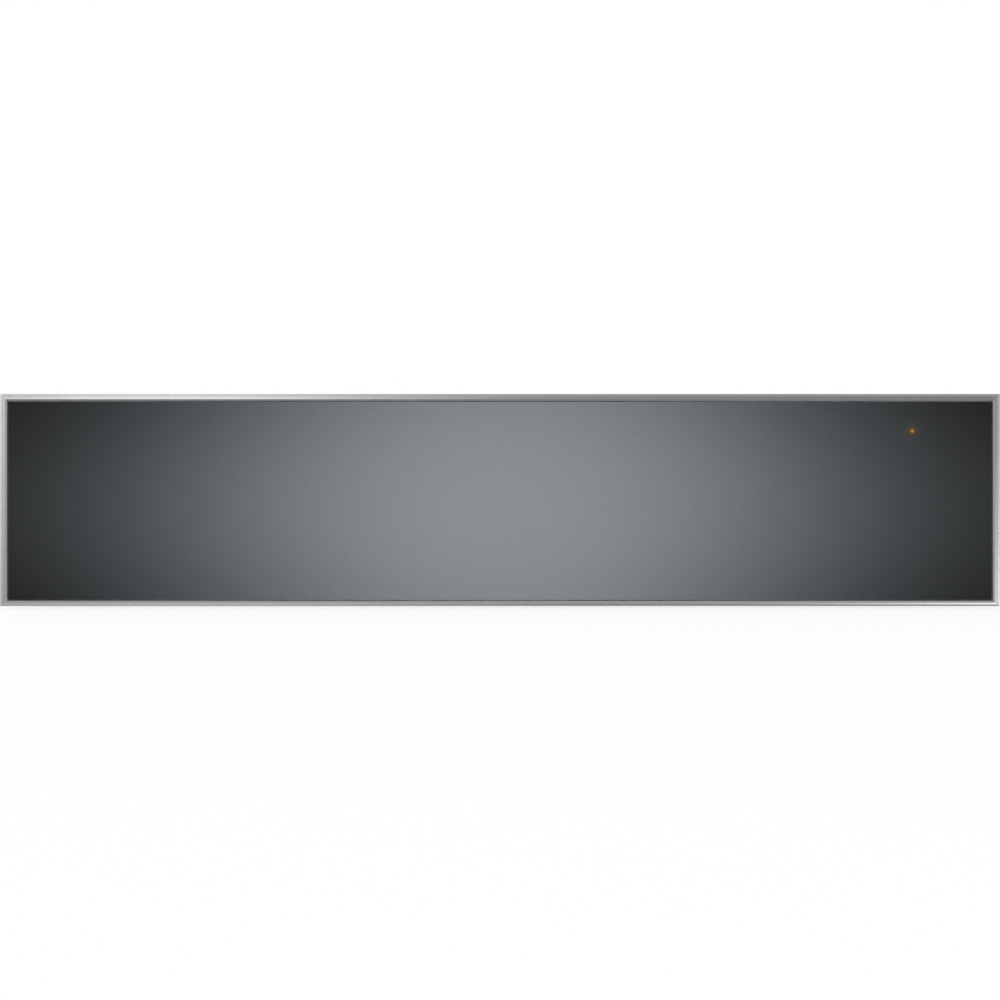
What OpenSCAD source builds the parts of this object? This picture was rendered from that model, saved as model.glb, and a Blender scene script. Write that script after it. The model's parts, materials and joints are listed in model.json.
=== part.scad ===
// Push-to-open warming drawer: a heated steel tray on ball-bearing slides, behind a plain glass
// front in a metal frame. X runs left to right, the front faces -Y, and it stands on z = 0.

/* [Overall] */
// Depth from the front's face to the back of the mains inlet
depth = 550; // [535:1:600]
// Distance that the drawer pulls out
travel = 420; // [300:5:425]
// Free gap between the front and the housing, taken up when the front is pushed to open
push_gap = 3.5; // [3:0.5:6]

/* [Front] */
// Width of the front
front_w = 594; // [580:1:620]
// Height of the front
front_h = 126; // [125:1:145]
// Depth of the whole front
front_t = 22; // [21:1:30]
// Height of the front's lower edge above the floor
front_z = 1.5; // [1:0.5:3]
// Width of the frame's lip at the sides and the top
lip_w = 4.1; // [3.5:0.1:8]
// Width of the frame's lip along the bottom
lip_foot_w = 3; // [2.8:0.1:8]
// Thickness of the frame's wall behind its lip
frame_wall = 1.5; // [1:0.1:2.2]
// Distance of the fine groove in the lip from the frame's edge
groove_in = 1.2; // [0.6:0.1:1.4]
// Width and depth of the groove in the lip
groove_w = 0.5; // [0.3:0.1:0.8]
// Chamfer along the lip's inner edge
lip_chamfer = 0.5; // [0.2:0.1:0.6]
// Thickness of the front glass
glass_t = 4; // [3:0.5:6]
// Depth of the glass behind the lip's face
glass_recess = 0.5; // [0.2:0.1:1]
// Shadow gap round the glass
glass_gap = 0.6; // [0.4:0.1:1.5]
// Thickness of the glue between the glass and its carrier
glue_t = 0.5; // [0.3:0.1:1]
// Sheet thickness of the carrier
carrier_t = 1.2; // [0.8:0.1:2]
// Depth of the carrier's folded edge
carrier_fold = 4; // [3:0.5:5]
// Depth of the liner's folded edge
liner_fold = 8; // [4:0.5:8.5]
// Gap between the frame's wall and the sheets that fit in it
frame_fit = 0.2; // [0.1:0.1:0.5]
// Radius of the carrier's screw bosses
boss_r = 5; // [4:0.5:5.5]

/* [Housing] */
// Width of the housing
housing_w = 556; // [545:1:570]
// Height of the housing
housing_h = 124; // [122:1:140]
// Thickness of the housing and drawer sheet
sheet = 1; // [0.8:0.1:1.2]
// Width of the folded flanges
flange_w = 12; // [11:1:14]
// Length of the base's raised strip behind the front
step_back = 45; // [30:1:70]
// Height of that strip above the floor
base_lift = 1.5; // [1:0.1:1.8]
// Height of the base's turned-up front edge
edge_h = 5; // [3:0.5:5.5]
// Pitch of the two fixing holes in each side
fixing_pitch = 75; // [65:1:78]
// Radius of the fixing holes
fixing_r = 2.25; // [1.8:0.05:2.75]
// Distance of the fixing holes behind the housing's front edge
fixing_in = 10; // [7:1:14]
// Number of vent slots in the rear panel
vent_n = 18; // [8:1:20]
// Pitch of the vent slots
vent_pitch = 10; // [8:1:11]

/* [Slides] */
// Length of each slide member
slide_l = 480; // [460:5:485]
// Height of a slide
slide_h = 45; // [44:0.5:46]
// Thickness of a slide, from the housing to the drawer
slide_t = 12.6; // [12.4:0.1:13.4]
// Height of the slides' centre line
slide_z = 62; // [58:1:66]
// Thickness of the slide members' steel
slide_steel = 1.2; // [1:0.1:1.3]
// Diameter of the outer balls
outer_ball_d = 4.6; // [4.2:0.1:4.8]
// Diameter of the inner balls
inner_ball_d = 4.5; // [4.1:0.1:4.7]
// Clearance of a ball in its race
ball_fit = 0.05; // [0.03:0.01:0.08]
// Thickness of the ball cages' strip
cage_t = 0.4; // [0.3:0.1:0.4]
// Length of the ball cages
cage_l = 250; // [240:5:260]
// Number of balls along a cage
ball_n = 6; // [4:1:8]

/* [Drawer] */
// Room behind the drawer for the latches and the power board
rear_room = 57; // [55:1:65]
// Height of the drawer's floor above the ground
floor_z = 15; // [15:0.5:18]
// Distance from the cover's underside to the tray's rim
rim_gap = 11; // [10:0.5:14]
// Distance from the drawer's side to the inside of the tray
tub_margin = 24.4; // [20:0.1:40]
// Depth of the ledge between the front and the tray
ledge_d = 35; // [34:1:50]
// Depth of the fan's space behind the tray
plenum_d = 55; // [55:1:70]
// Sheet thickness of the tray
tub_t = 0.8; // [0.6:0.1:1]
// Corner radius of the tray
tub_r = 12; // [8:1:20]
// Thickness of the insulation mat
insulation_t = 11; // [8:1:14]
// Thickness of the heater mat
heater_t = 1.5; // [1:0.1:2.5]
// Air gap between the two mats
mat_gap = 0.7; // [0.5:0.1:2]
// Distance of both mats from the tray's edge
mat_in = 12; // [5:1:30]
// Thickness of the glass base in the tray
base_glass_t = 4; // [3:0.5:6]
// Width of the silicone seal round the glass base
seal_w = 4; // [3:0.5:8]
// Width of the seal's lip under the glass base
seal_lip = 5; // [3:0.5:10]
// Thickness of the seal's lip
seal_t = 1; // [0.8:0.1:2]

/* [Fan] */
// Height of the fan's axis
fan_z = 70; // [68:1:72]
// Radius of the air hole in the tray
fan_hole_r = 30; // [26:1:31]
// Radius of the impeller
impeller_r = 28; // [20:1:29]
// Length of the impeller's blades
blade_l = 13; // [10:1:14]
// Number of blades
blade_n = 9; // [5:1:12]
// Radius of the motor
motor_r = 20; // [16:1:22]
// Length of the motor
motor_l = 25; // [18:1:26]
// Radius of the motor's shaft
shaft_r = 2; // [1.5:0.1:3]

/* [Controls] */
// Distance of the indicator lamp from the drawer's side
lamp_in = 19.4; // [19.2:0.1:34]
// Depth of the lamp below the tray's rim
lamp_drop = 6.5; // [6:0.5:9]
// Radius of the lamp's lens
lens_r = 2.1; // [1.5:0.1:3]
// Radius of the light pipe
pipe_r = 1.8; // [1.2:0.1:2]
// Width of the control box
control_w = 72; // [66:1:100]
// Depth of the control box
control_d = 29; // [28:1:30]
// Height of the control box
control_h = 17.2; // [17:0.1:24]
// Wall of the control box
control_wall = 1.5; // [1:0.1:2]
// Radius of the temperature knob
knob_r = 9.5; // [8:0.5:13]
// Height of the temperature knob
knob_h = 7; // [5:0.5:8]
// Radius of the knob's spindle
spindle_r = 3; // [2:0.1:3.5]
// Thickness of the control plate
plate_t = 1; // [0.6:0.1:1.5]

/* [Push latches] */
// Distance of each latch from the drawer's side
latch_in = 114.4; // [90:0.1:130]
// Radius of the plunger
plunger_r = 4.95; // [4:0.05:6]
// Length of the plunger
plunger_l = 28; // [26:1:30]
// Travel of the plunger
plunger_travel = 3; // [2:0.1:3]
// Width and height of the latch's body
latch_w = 24; // [20:1:26]
// Gap between the plunger's tip and the drawer's striker
latch_free = 3; // [3:0.1:4]
// Thickness of the strikers
striker_t = 2; // [1:0.5:3]

/* [Cable arm] */
// Length of each link between its pivots
link_l = 300; // [270:1:310]
// Width of a link
link_w = 16; // [14:1:20]
// Thickness of a link
link_t = 4.5; // [4:0.1:4.6]
// Distance of the arm's pivot from the middle
arm_x = 150; // [140:1:170]
// Radius of the arm's pivot pins
pivot_r = 3; // [2:0.1:4]
// Radius of the spigot on the drawer
spigot_r = 2; // [1.5:0.1:2.2]
// Free play of the spigot in its eye, which the straight pull needs
spigot_play = 2.2; // [2:0.1:2.6]
// Thickness of the lead in the arm
lead_t = 2.4; // [1.5:0.1:2.8]
// Width of the lead in the arm
lead_w = 6.6; // [5:0.1:8]

/* [Mains inlet] */
// Distance of the inlet from the housing's side
inlet_in = 52; // [42:1:62]
// Height of the inlet
inlet_z = 40; // [30:1:60]
// Width of the inlet's recess
recess_w = 24.5; // [22:0.5:27]
// Height of the inlet's recess
recess_h = 17; // [16:0.5:20]
// Depth of the inlet's recess
recess_d = 16; // [12:0.5:20]
// Thickness of the inlet's flange
inlet_flange_t = 3; // [2:0.5:4]
// Width of the inlet's ear on each side of the recess
inlet_ear = 12.8; // [11:0.1:16]
// Height of the inlet's flange above and below the recess
inlet_lip = 3; // [2.6:0.1:6]

/* [Fasteners] */
// Radius of the screws
screw_r = 2; // [1.5:0.1:2]
// Radius of the screw heads
head_r = 3.6; // [3:0.1:3.8]
// Height of the screw heads
head_h = 1.8; // [1:0.1:2]
// Clearance round a screw
screw_fit = 0.1; // [0.05:0.05:0.2]
// Radial clearance of a pin or shaft that turns or slides
run_fit = 0.05; // [0.02:0.01:0.08]

/* [Hidden] */
$fn = 48;
over = 1; // how far a cutter runs past what it cuts
hole_l = 30; // length of a cutter for a screw hole

// Planes of the housing
y_front = -depth / 2;
y_back = depth / 2;
y_panel = y_back - inlet_flange_t;
y_liner = y_front + front_t;
y_edge = y_liner + push_gap;
y_step = y_edge + step_back;
flange_gap = 1;
y_fold = y_panel - sheet - flange_w - flange_gap;
x_wall = housing_w / 2 - sheet;
z_cover = housing_h - sheet;
z_fixing = housing_h / 2;
cover_screw_l = 6;
cover_screw_ends = [40, 20]; // from the cover's front and rear edges to the end screws
rear_screw_ends = [30, 28]; // from the floor and the cover to the rear panel's screws
front_screw_ends = [30, 12]; // from the floor and the tray's rim to the front's screws
vent = [4, 12]; // width and height of a vent slot
vent_drop = 7; // from the cover to the slots
rear_screw_l = 5;
inlet_screw_l = 7;

// Planes of the drawer
x_side = x_wall - slide_t;
y_tail = y_panel - rear_room;
z_rim = z_cover - rim_gap;
z_tub = floor_z + sheet + insulation_t + mat_gap + heater_t + tub_t;
tub_x = x_side - tub_margin;
tub_y0 = y_liner + ledge_d;
tub_y1 = y_tail - plenum_d;
z_glass = z_tub + seal_t;

// Planes of the front
z_front1 = front_z + front_h;
lip_t = glass_recess + glass_t + glue_t;
y_glass = y_front + glass_recess;
y_carrier = y_front + lip_t;

// Controls
lamp_x = x_side - lamp_in;
z_lamp = z_rim - lamp_drop;
z_box1 = z_rim - tub_t;
z_box0 = z_box1 - control_h;
lamp_end = 5; // from the lamp to the control box's end
control_x1 = lamp_x + lamp_end;
control_x0 = control_x1 - control_w;
knob_in = [27, 16.5]; // from the control box's inner front corner to the knob
knob_x = control_x0 + knob_in.x;
knob_y = y_liner + knob_in.y;
knob_gap = 0.5; // under the knob
spindle_end = 0.5; // under the spindle in the switch
spindle_gap = 1; // round the spindle in the plate and the rim
knob_roof = 2; // over the end of its spindle
knob_step = 1;
pointer = [1.2, 5, 0.4]; // width, length and depth of the line in the knob's top
z_knob = z_rim + plate_t + knob_gap;
plate_in = 2; // from the liner to the control plate
switch_size = [26, 21, 12];
switch_floor = 1;
z_switch = z_box0 + control_wall;
lens_flange = 1.4;
lens_flange_t = 0.8;
lens_flange_fit = 0.4;
pipe_fit = 0.4;
lamp_board_y = y_liner + 7;
lamp_board_w = 10;
lamp_board_t = 1.6;
lamp_board_gap = 0.5; // under the tray's rim
led_r = 1.5;
led_l = 3;
led_gap = 0.3;
drawer_lead_r = 2;
lead_lift = 1; // of the drawer's lead over the chassis floor
lead_end = 5; // of the lead inside the control box
z_lead = z_box0 + 6;
front_screw_l = 12;

// Slides, with u measured inwards from the housing's wall and v from the centre line
slide_y0 = y_edge + 2.5;
outer_ball_v = slide_h / 2 - slide_steel - ball_fit - outer_ball_d / 2;
middle_v = outer_ball_v - outer_ball_d / 2 - ball_fit;
inner_ball_v = middle_v - slide_steel - ball_fit - inner_ball_d / 2;
inner_v = inner_ball_v - inner_ball_d / 2 - ball_fit;
middle_u = 2 * slide_steel;
web_gap = 0.4; // from a channel's web to the cage over it
outer_ball_u = 5.2;
inner_ball_u = 7.2;
outer_edge_u = 9; // free edges of the three channels' flanges
middle_edge_u = 10.4;
inner_edge_u = 4.9;
outer_bead = [1.1, 1]; // beads along two of those edges, which keep the balls in
middle_bead = [0.9, 0.8];
outer_cage_u = 8.6;
inner_cage_u = 10.2;
cage_end = 20; // from a cage's end to its last ball
cage_fit = 0.15; // round a ball in its cage
slide_screw_in = 30;

// Latches
latch_x = x_side - latch_in;
y_tip = y_tail + striker_t + latch_free;
tip_t = 2.5;
tip_lip = 2;
tip_gap = 0.5; // left between the pressed tip and the latch's body
y_latch = y_tip + tip_t + plunger_travel + tip_gap;
bore_back = 9;
z_latch = 60;

// Cable arm: both links lie at fold from the X axis when the drawer is shut
fold = asin(travel / 2 / (2 * link_l));
spigot_in = 25; // from the drawer's back to the spigot
arm_y1 = y_tail - spigot_in;
arm_y = arm_y1 - travel / 2;
arm_clear = 2; // under the rear link
link_gap = 0.8; // between the two links
z_link_a = sheet + arm_clear;
z_link_b = z_link_a + link_t + link_gap;
elbow = [arm_x - link_l * cos(fold), arm_y + link_l * sin(fold)];
pin_head_h = 1.1;
pin_lip = 2; // of a pin's head over its shank
pin_gap = 0.1; // between a pin's head and a link
bracket = [40, 30];
bracket_gap = 0.3; // between the bracket and the rear link
groove_end = 22; // from a pivot to the end of a link's groove
lead_gap = 2; // between the groove's end and the lead
lead_fit = 0.2; // round the lead in its groove
spigot_flange_r = 8;
spigot_flange_t = 1.4;
spigot_end = 0.7; // from the spigot's tip to the front link's underside

// Fan
y_grille = tub_y1 + tub_t;
grille_t = 1;
grille_rim = 5;
grille_pitch = 6;
grille_slot = 3;
grille_edge = 2; // from the air hole's edge to the slots
blade_gap = 4; // from the grille to the blades
y_blade = y_grille + grille_t + blade_gap;
blade_w = 14;
blade_t = 1.2;
disc_t = 1.2;
hub_r = 6;
hub_in = 4; // from the blades' front edges to the hub
hub_tail = 5; // behind the disc's front face
y_motor = y_tail - sheet - motor_l;
motor_end = 4; // left closed at the back of the motor's bore
shaft_gap = 2; // from the shaft's end to the bore's
return_n = 8; // air slots on each side of the fan
return_pitch = 14;
return_slot = [5, 36];
return_in = 40; // from the tray's side to the last slot

// Heat sensors on the tray's back wall
sensor_x = 70;
sensor_z = 50;
sensor_r = 4;
sensor_l = 9;
cutout_r = 8;
cutout_t = 6;
tag = [4, 7.5, 0.8]; // width, length and thickness of a solder tag
tag_x = 4;

// Power board, which stands on posts in front of the rear panel
board = [140, 1.6, 70];
board_x = -60;
board_z = 25;
board_hole_in = 8;
post_l = 5.4;
post_r = 3.5;
post_tip = 1; // of a post in front of the board
y_board = y_panel - sheet - post_l - board.y;
transformer = [42, 26, 36];
transformer_at = [50, 20]; // places of the parts along the board and up it
relay = [28, 15, 14];
relay_at = [16, 36];
terminal = [30, 12, 12];
terminal_at = [16, 6];
capacitor_r = 6;
capacitor_l = 22;
capacitor_at = [30, 60];
choke_r = 11;
choke_l = 14;
choke_at = [110, 35];
wire_r = 1.4;
wire_room = 8; // between the terminal block and the nearest run
wire_in = 5.4; // from the terminal block's end to the first lead
wire_step = 4.2; // between the leads' runs to the board
wire_pitch = 9; // between their ends on the terminal block
flat_lead = [10, 2]; // width and thickness of the lead to the arm
flat_lead_z = board_hole_in + screw_r + 1.5; // height above the board's edge, clear of its post
flat_lead_t = 1.6; // pressed thickness under the arm
flat_lead_gap = 3; // from the arm's bracket to the lead
flat_lead_on = 12; // overlap of the lead and the board

// Mains inlet
inlet_x = x_wall - inlet_in;
inlet_wall = 1.5;
inlet_back = 5; // thickness behind the recess
inlet_fit = 0.3; // round the inlet in the rear panel
inlet_half_w = recess_w / 2 + inlet_ear;
inlet_screw_x = recess_w / 2 + inlet_wall + (inlet_ear - inlet_wall) / 2;
pins = [[-7, -2], [0, 2], [7, -2]];
pin_size = [2, 4];
pin_fit = 0.02;
pin_tail = 7; // behind the inlet
pin_short = 3; // from a pin's tip to the mouth of the recess
y_pin = y_back - recess_d - inlet_back - pin_tail;

/* ---------- shapes that repeat ---------- */

module block(lo, hi) translate(lo) cube(hi - lo);

module left() mirror([1, 0, 0]) children();

module both() {
    children();
    left() children();
}

// Extrudes a [y, z] outline along X, from x0 to x1
module along_x(x0, x1) translate([x0, 0, 0]) rotate([90, 0, 90]) linear_extrude(x1 - x0) children();

module rod_x(p, r, l) translate(p) rotate([0, 90, 0]) cylinder(h = l, r = r);

module rod_y(p, r, l) translate(p) rotate([-90, 0, 0]) cylinder(h = l, r = r);

module rod_z(p, r, l) translate(p) cylinder(h = l, r = r);

// Flat rectangle with round corners, from corner to corner
module round_rect(lo, hi, r) {
    translate([lo.x + r, lo.y]) square([hi.x - lo.x - 2 * r, hi.y - lo.y]);
    translate([lo.x, lo.y + r]) square([hi.x - lo.x, hi.y - lo.y - 2 * r]);
    for (x = [lo.x + r, hi.x - r], y = [lo.y + r, hi.y - r]) translate([x, y]) circle(r);
}

// Pan-head screw: the head stands on z = 0 and the shank hangs l below it
module screw(l) {
    translate([0, 0, -l]) cylinder(h = l, r = screw_r);
    cylinder(h = head_h, r = head_r);
}

module screw_hole() translate([0, 0, -hole_l]) cylinder(h = hole_l + over, r = screw_r + screw_fit);

// Countersunk screw, flush with z = 0, and its hole when grow is its clearance
module flat_screw(l, grow = 0) {
    sink = head_r - screw_r;
    translate([0, 0, -sink]) cylinder(h = sink, r1 = screw_r + grow, r2 = head_r + grow);
    translate([0, 0, -l]) cylinder(h = l - sink, r = screw_r + grow);
}

// Round lead through a list of points, with a bead at each bend
module wire(points, r) {
    for (i = [0 : len(points) - 2]) {
        run = points[i + 1] - points[i];
        translate(points[i])
            rotate([0, acos(run.z / norm(run)), atan2(run.y, run.x)])
                cylinder(h = norm(run), r = r);
    }
    for (i = [1 : 1 : len(points) - 2]) translate(points[i]) sphere(r * 1.2);
}

/* ---------- places shared by screws and their holes ---------- */

module at_cover_screws()
    both() for (y = [y_edge + cover_screw_ends[0], 0, y_fold - cover_screw_ends[1]])
        translate([x_wall - flange_w / 2, y, housing_h]) children();

module at_rear_screws()
    both() for (z = [rear_screw_ends[0], z_cover - rear_screw_ends[1]])
        translate([housing_w / 2, y_panel - sheet - flange_w / 2, z]) rotate([0, 90, 0]) children();

module at_slide_screws(x, tilt)
    for (y = [slide_y0 + slide_screw_in, slide_y0 + slide_l / 2, slide_y0 + slide_l - slide_screw_in])
        translate([x, y, slide_z]) rotate([0, tilt, 0]) children();

module at_front_screws()
    both() for (z = [front_screw_ends[0], z_rim - front_screw_ends[1]])
        translate([x_side - flange_w / 2, y_liner + sheet, z]) rotate([-90, 0, 0]) children();

module at_inlet_screws()
    for (x = [-1, 1] * inlet_screw_x)
        translate([-inlet_x + x, y_back, inlet_z]) rotate([-90, 0, 0]) children();

/* ---------- housing ---------- */

module housing_base() color("lightgray")
    along_x(-x_wall, x_wall) polygon([
        [y_panel, 0], [y_step, 0], [y_step, base_lift], [y_edge, base_lift],
        [y_edge, base_lift + edge_h], [y_edge + sheet, base_lift + edge_h],
        [y_edge + sheet, base_lift + sheet], [y_step + sheet, base_lift + sheet],
        [y_step + sheet, sheet], [y_panel, sheet]
    ]);

module housing_side() color("silver")
    difference() {
        union() {
            along_x(x_wall, housing_w / 2) polygon([
                [y_step, 0], [y_panel, 0], [y_panel, z_cover], [y_edge, z_cover],
                [y_edge, base_lift], [y_step, base_lift]
            ]);
            block([x_wall - flange_w, y_step + sheet, sheet], [x_wall, y_fold, 2 * sheet]);
            block([x_wall - flange_w, y_edge, z_cover - sheet], [x_wall, y_fold, z_cover]);
        }
        at_cover_screws() flat_screw(cover_screw_l + over, screw_fit);
        at_rear_screws() screw_hole();
        at_slide_screws(housing_w / 2, 90) screw_hole();
        for (z = [-1, 1] * fixing_pitch / 2)
            rod_x([x_wall - over, y_edge + fixing_in, z_fixing + z], fixing_r, sheet + 2 * over);
    }

module housing_cover() color("silver")
    difference() {
        block([-housing_w / 2, y_edge, z_cover], [housing_w / 2, y_panel, housing_h]);
        at_cover_screws() flat_screw(cover_screw_l + over, screw_fit);
    }

module rear_panel() color("silver")
    difference() {
        union() {
            block([-x_wall, y_panel - sheet, sheet], [x_wall, y_panel, z_cover]);
            both() block([x_wall - sheet, y_panel - sheet - flange_w, sheet],
                         [x_wall, y_panel - sheet, z_cover]);
        }
        at_rear_screws() screw_hole();
        inlet_box(inlet_wall + inlet_fit, y_panel - sheet - over, y_panel + over);
        at_inlet_screws() flat_screw(inlet_screw_l + over, screw_fit);
        for (i = [0 : vent_n - 1])
            translate([(i - (vent_n - 1) / 2) * vent_pitch - vent[0] / 2, y_panel - sheet - over,
                       z_cover - vent_drop - vent[1]])
                cube([vent[0], sheet + 2 * over, vent[1]]);
    }

module housing_screws() color("dimgray") {
    at_cover_screws() flat_screw(cover_screw_l);
    at_rear_screws() screw(rear_screw_l);
    at_inlet_screws() flat_screw(inlet_screw_l);
    both() at_slide_screws(housing_w / 2, 90) screw(sheet + slide_steel);
}

module latch_body() color("gainsboro")
    difference() {
        block([latch_x - latch_w / 2, y_latch, z_latch - latch_w / 2],
              [latch_x + latch_w / 2, y_panel - sheet, z_latch + latch_w / 2]);
        rod_y([latch_x, y_latch - over, z_latch], plunger_r + run_fit,
              y_panel - sheet - bore_back - y_latch + over);
    }

module latch_plunger() color("dimgray") {
    rod_y([latch_x, y_tip + tip_t, z_latch], plunger_r, plunger_l - tip_t);
    rod_y([latch_x, y_tip, z_latch], plunger_r + tip_lip, tip_t);
}

// Box round the inlet's recess, grown by wall on all four sides, from y0 to y1
module inlet_box(wall, y0, y1)
    block([-inlet_x - recess_w / 2 - wall, y0, inlet_z - recess_h / 2 - wall],
          [-inlet_x + recess_w / 2 + wall, y1, inlet_z + recess_h / 2 + wall]);

module mains_inlet() color("black")
    difference() {
        union() {
            block([-inlet_x - inlet_half_w, y_panel, inlet_z - recess_h / 2 - inlet_lip],
                  [-inlet_x + inlet_half_w, y_back, inlet_z + recess_h / 2 + inlet_lip]);
            inlet_box(inlet_wall, y_back - recess_d - inlet_back, y_panel);
        }
        inlet_box(0, y_back - recess_d, y_back + over);
        at_inlet_screws() flat_screw(inlet_screw_l + over, screw_fit);
        inlet_pin_blocks(pin_fit);
    }

// Three flat pins that pass through the inlet's back wall, with a solder tab behind each
module inlet_pin_blocks(grow = 0) {
    half = pin_size / 2 + [grow, grow];
    for (p = pins)
        block([-inlet_x + p.x - half.x, y_pin - grow, inlet_z + p.y - half.y],
              [-inlet_x + p.x + half.x, y_back - pin_short, inlet_z + p.y + half.y]);
}

module inlet_pins() color("silver") inlet_pin_blocks();

module power_board() color("darkgreen")
    difference() {
        translate([board_x, y_board, board_z]) cube(board);
        at_board_posts() rod_y([0, -over, 0], screw_r, board.y + 2 * over);
    }

module at_board_posts()
    for (x = [board_hole_in, board.x - board_hole_in], z = [board_hole_in, board.z - board_hole_in])
        translate([board_x + x, y_board, board_z + z]) children();

// Block part on the board, from its corner's place on the board, with its size
module board_block(at, size)
    block([board_x + at.x, y_board - size.y, board_z + at.y],
          [board_x + at.x + size.x, y_board, board_z + at.y + size.z]);

module board_rod(at, r, l) rod_y([board_x + at.x, y_board - l, board_z + at.y], r, l);

// Transformer, relay, terminal block, capacitor and choke, and the snap-in posts under the board
module board_parts() color("goldenrod") {
    board_block(transformer_at, transformer);
    board_block(relay_at, relay);
    board_block(terminal_at, terminal);
    board_rod(capacitor_at, capacitor_r, capacitor_l);
    board_rod(choke_at, choke_r, choke_l);
    at_board_posts() {
        rod_y([0, board.y, 0], post_r, post_l);
        rod_y([0, -post_tip, 0], screw_r - screw_fit, board.y + post_tip);
    }
}

// Three leads from the inlet to the terminal block, and the flat lead from the board to the arm
module housing_leads() color("black") {
    for (i = [0 : len(pins) - 1]) {
        x = -inlet_x + pins[i].x;
        z = inlet_z + pins[i].y;
        y_run = y_board - terminal.y - wire_room - wire_step * (len(pins) - 1 - i);
        x_end = board_x + terminal_at.x + terminal.x - wire_in - wire_pitch * i;
        wire([[x, y_pin, z], [x, y_run, z], [x_end, y_run, z], [x_end, y_board - terminal.y, z]], wire_r);
    }
    x0 = arm_x - flat_lead.x / 2;
    x1 = arm_x + flat_lead.x / 2;
    y0 = y_board - flat_lead.y;
    z1 = board_z + flat_lead_z + flat_lead.x;
    block([x0, arm_y + bracket.y / 2 + flat_lead_gap, sheet], [x1, y_board, sheet + flat_lead_t]);
    block([x0, y0, sheet], [x1, y_board, z1]);
    block([board_x + board.x - flat_lead_on, y0, z1 - flat_lead.x], [x0, y_board, z1]);
}

/* ---------- ball-bearing slides ---------- */

// Extrudes a [u, v] outline along Y on the right-hand wall, from y0
module along_slide(y0, l)
    translate([x_wall, y0 + l, slide_z]) rotate([90, 0, 0]) linear_extrude(l) mirror([1, 0]) children();

// C outline: its web stands at u0, its flanges reach u1, and its half height is v
module channel(u0, u1, v) {
    translate([u1 > u0 ? u0 : u0 - slide_steel, -v]) square([slide_steel, 2 * v]);
    for (side = [-v, v - slide_steel])
        translate([min(u0, u1), side]) square([abs(u1 - u0), slide_steel]);
}

// Beads inside the free edges of a channel whose inner half height is v
module beads(u1, v, size)
    for (side = [-v, v - size.y]) translate([u1 - size.x, side]) square(size);

module slide_outer() color("silver")
    difference() {
        along_slide(slide_y0, slide_l) {
            channel(0, outer_edge_u, slide_h / 2);
            beads(outer_edge_u, slide_h / 2 - slide_steel, outer_bead);
        }
        at_slide_screws(housing_w / 2, 90) screw_hole();
    }

module slide_middle() color("gainsboro")
    along_slide(slide_y0, slide_l) {
        channel(middle_u, middle_edge_u, middle_v);
        beads(middle_edge_u, middle_v - slide_steel, middle_bead);
    }

module slide_inner() color("silver")
    difference() {
        along_slide(slide_y0, slide_l) channel(slide_t, inner_edge_u, inner_v);
        at_slide_screws(x_side - sheet, -90) screw_hole();
    }

// Cage strip with two folded edges, and a row of balls held in each
module ball_cage(u0, u1, ball_u, ball_v, ball_d) color("goldenrod") {
    y0 = slide_y0 + (slide_l - cage_l) / 2;
    pitch = (cage_l - 2 * cage_end) / (ball_n - 1);
    difference() {
        along_slide(y0, cage_l) {
            translate([u0, -ball_v - cage_t / 2]) square([cage_t, 2 * ball_v + cage_t]);
            for (v = [-ball_v, ball_v])
                translate([u0, v - cage_t / 2]) square([u1 - u0, cage_t]);
        }
        at_balls(y0, pitch, ball_u, ball_v)
            translate([0, 0, -over]) cylinder(h = 2 * over, r = ball_d / 2 + cage_fit);
    }
    at_balls(y0, pitch, ball_u, ball_v) sphere(d = ball_d);
}

module at_balls(y0, pitch, u, v)
    for (i = [0 : ball_n - 1], side = [-v, v])
        translate([x_wall - u, y0 + cage_end + i * pitch, slide_z + side]) children();

module ball_cage_outer()
    ball_cage(slide_steel + web_gap, outer_cage_u, outer_ball_u, outer_ball_v, outer_ball_d);

module ball_cage_inner()
    ball_cage(middle_u + slide_steel + web_gap, inner_cage_u, inner_ball_u, inner_ball_v, inner_ball_d);

/* ---------- cable arm under the drawer ---------- */

// Flat link from the origin along +X, with a groove for the lead in its top
module link(end_r) difference() {
    union() {
        translate([0, -link_w / 2, 0]) cube([link_l, link_w, link_t]);
        for (x = [0, link_l]) translate([x, 0, 0]) cylinder(h = link_t, r = link_w / 2);
    }
    translate([groove_end, -lead_w / 2 - lead_fit, link_t - lead_t - lead_fit])
        cube([link_l - 2 * groove_end, lead_w + 2 * lead_fit, lead_t + lead_fit + over]);
    translate([0, 0, -over]) cylinder(h = link_t + 2 * over, r = pivot_r + run_fit);
    translate([link_l, 0, -over]) cylinder(h = link_t + 2 * over, r = end_r);
}

module link_lead()
    translate([groove_end + lead_gap, -lead_w / 2, link_t - lead_t - lead_fit])
        cube([link_l - 2 * (groove_end + lead_gap), lead_w, lead_t]);

module at_link_a() translate([arm_x, arm_y, z_link_a]) rotate([0, 0, 180 - fold]) children();

module at_link_b() translate([elbow.x, elbow.y, z_link_b]) rotate([0, 0, fold]) children();

module arm_bracket() color("dimgray") {
    block([arm_x - bracket.x / 2, arm_y - bracket.y / 2, sheet],
          [arm_x + bracket.x / 2, arm_y + bracket.y / 2, z_link_a - bracket_gap]);
    rod_z([arm_x, arm_y, z_link_a - bracket_gap], pivot_r, link_t + bracket_gap);
}

module arm_link_rear() color("white") at_link_a() link(pivot_r + run_fit);

module arm_lead_rear() color("black") at_link_a() link_lead();

module arm_link_front() color("white") at_link_b() link(spigot_r + spigot_play);

module arm_lead_front() color("black") at_link_b() link_lead();

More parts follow.
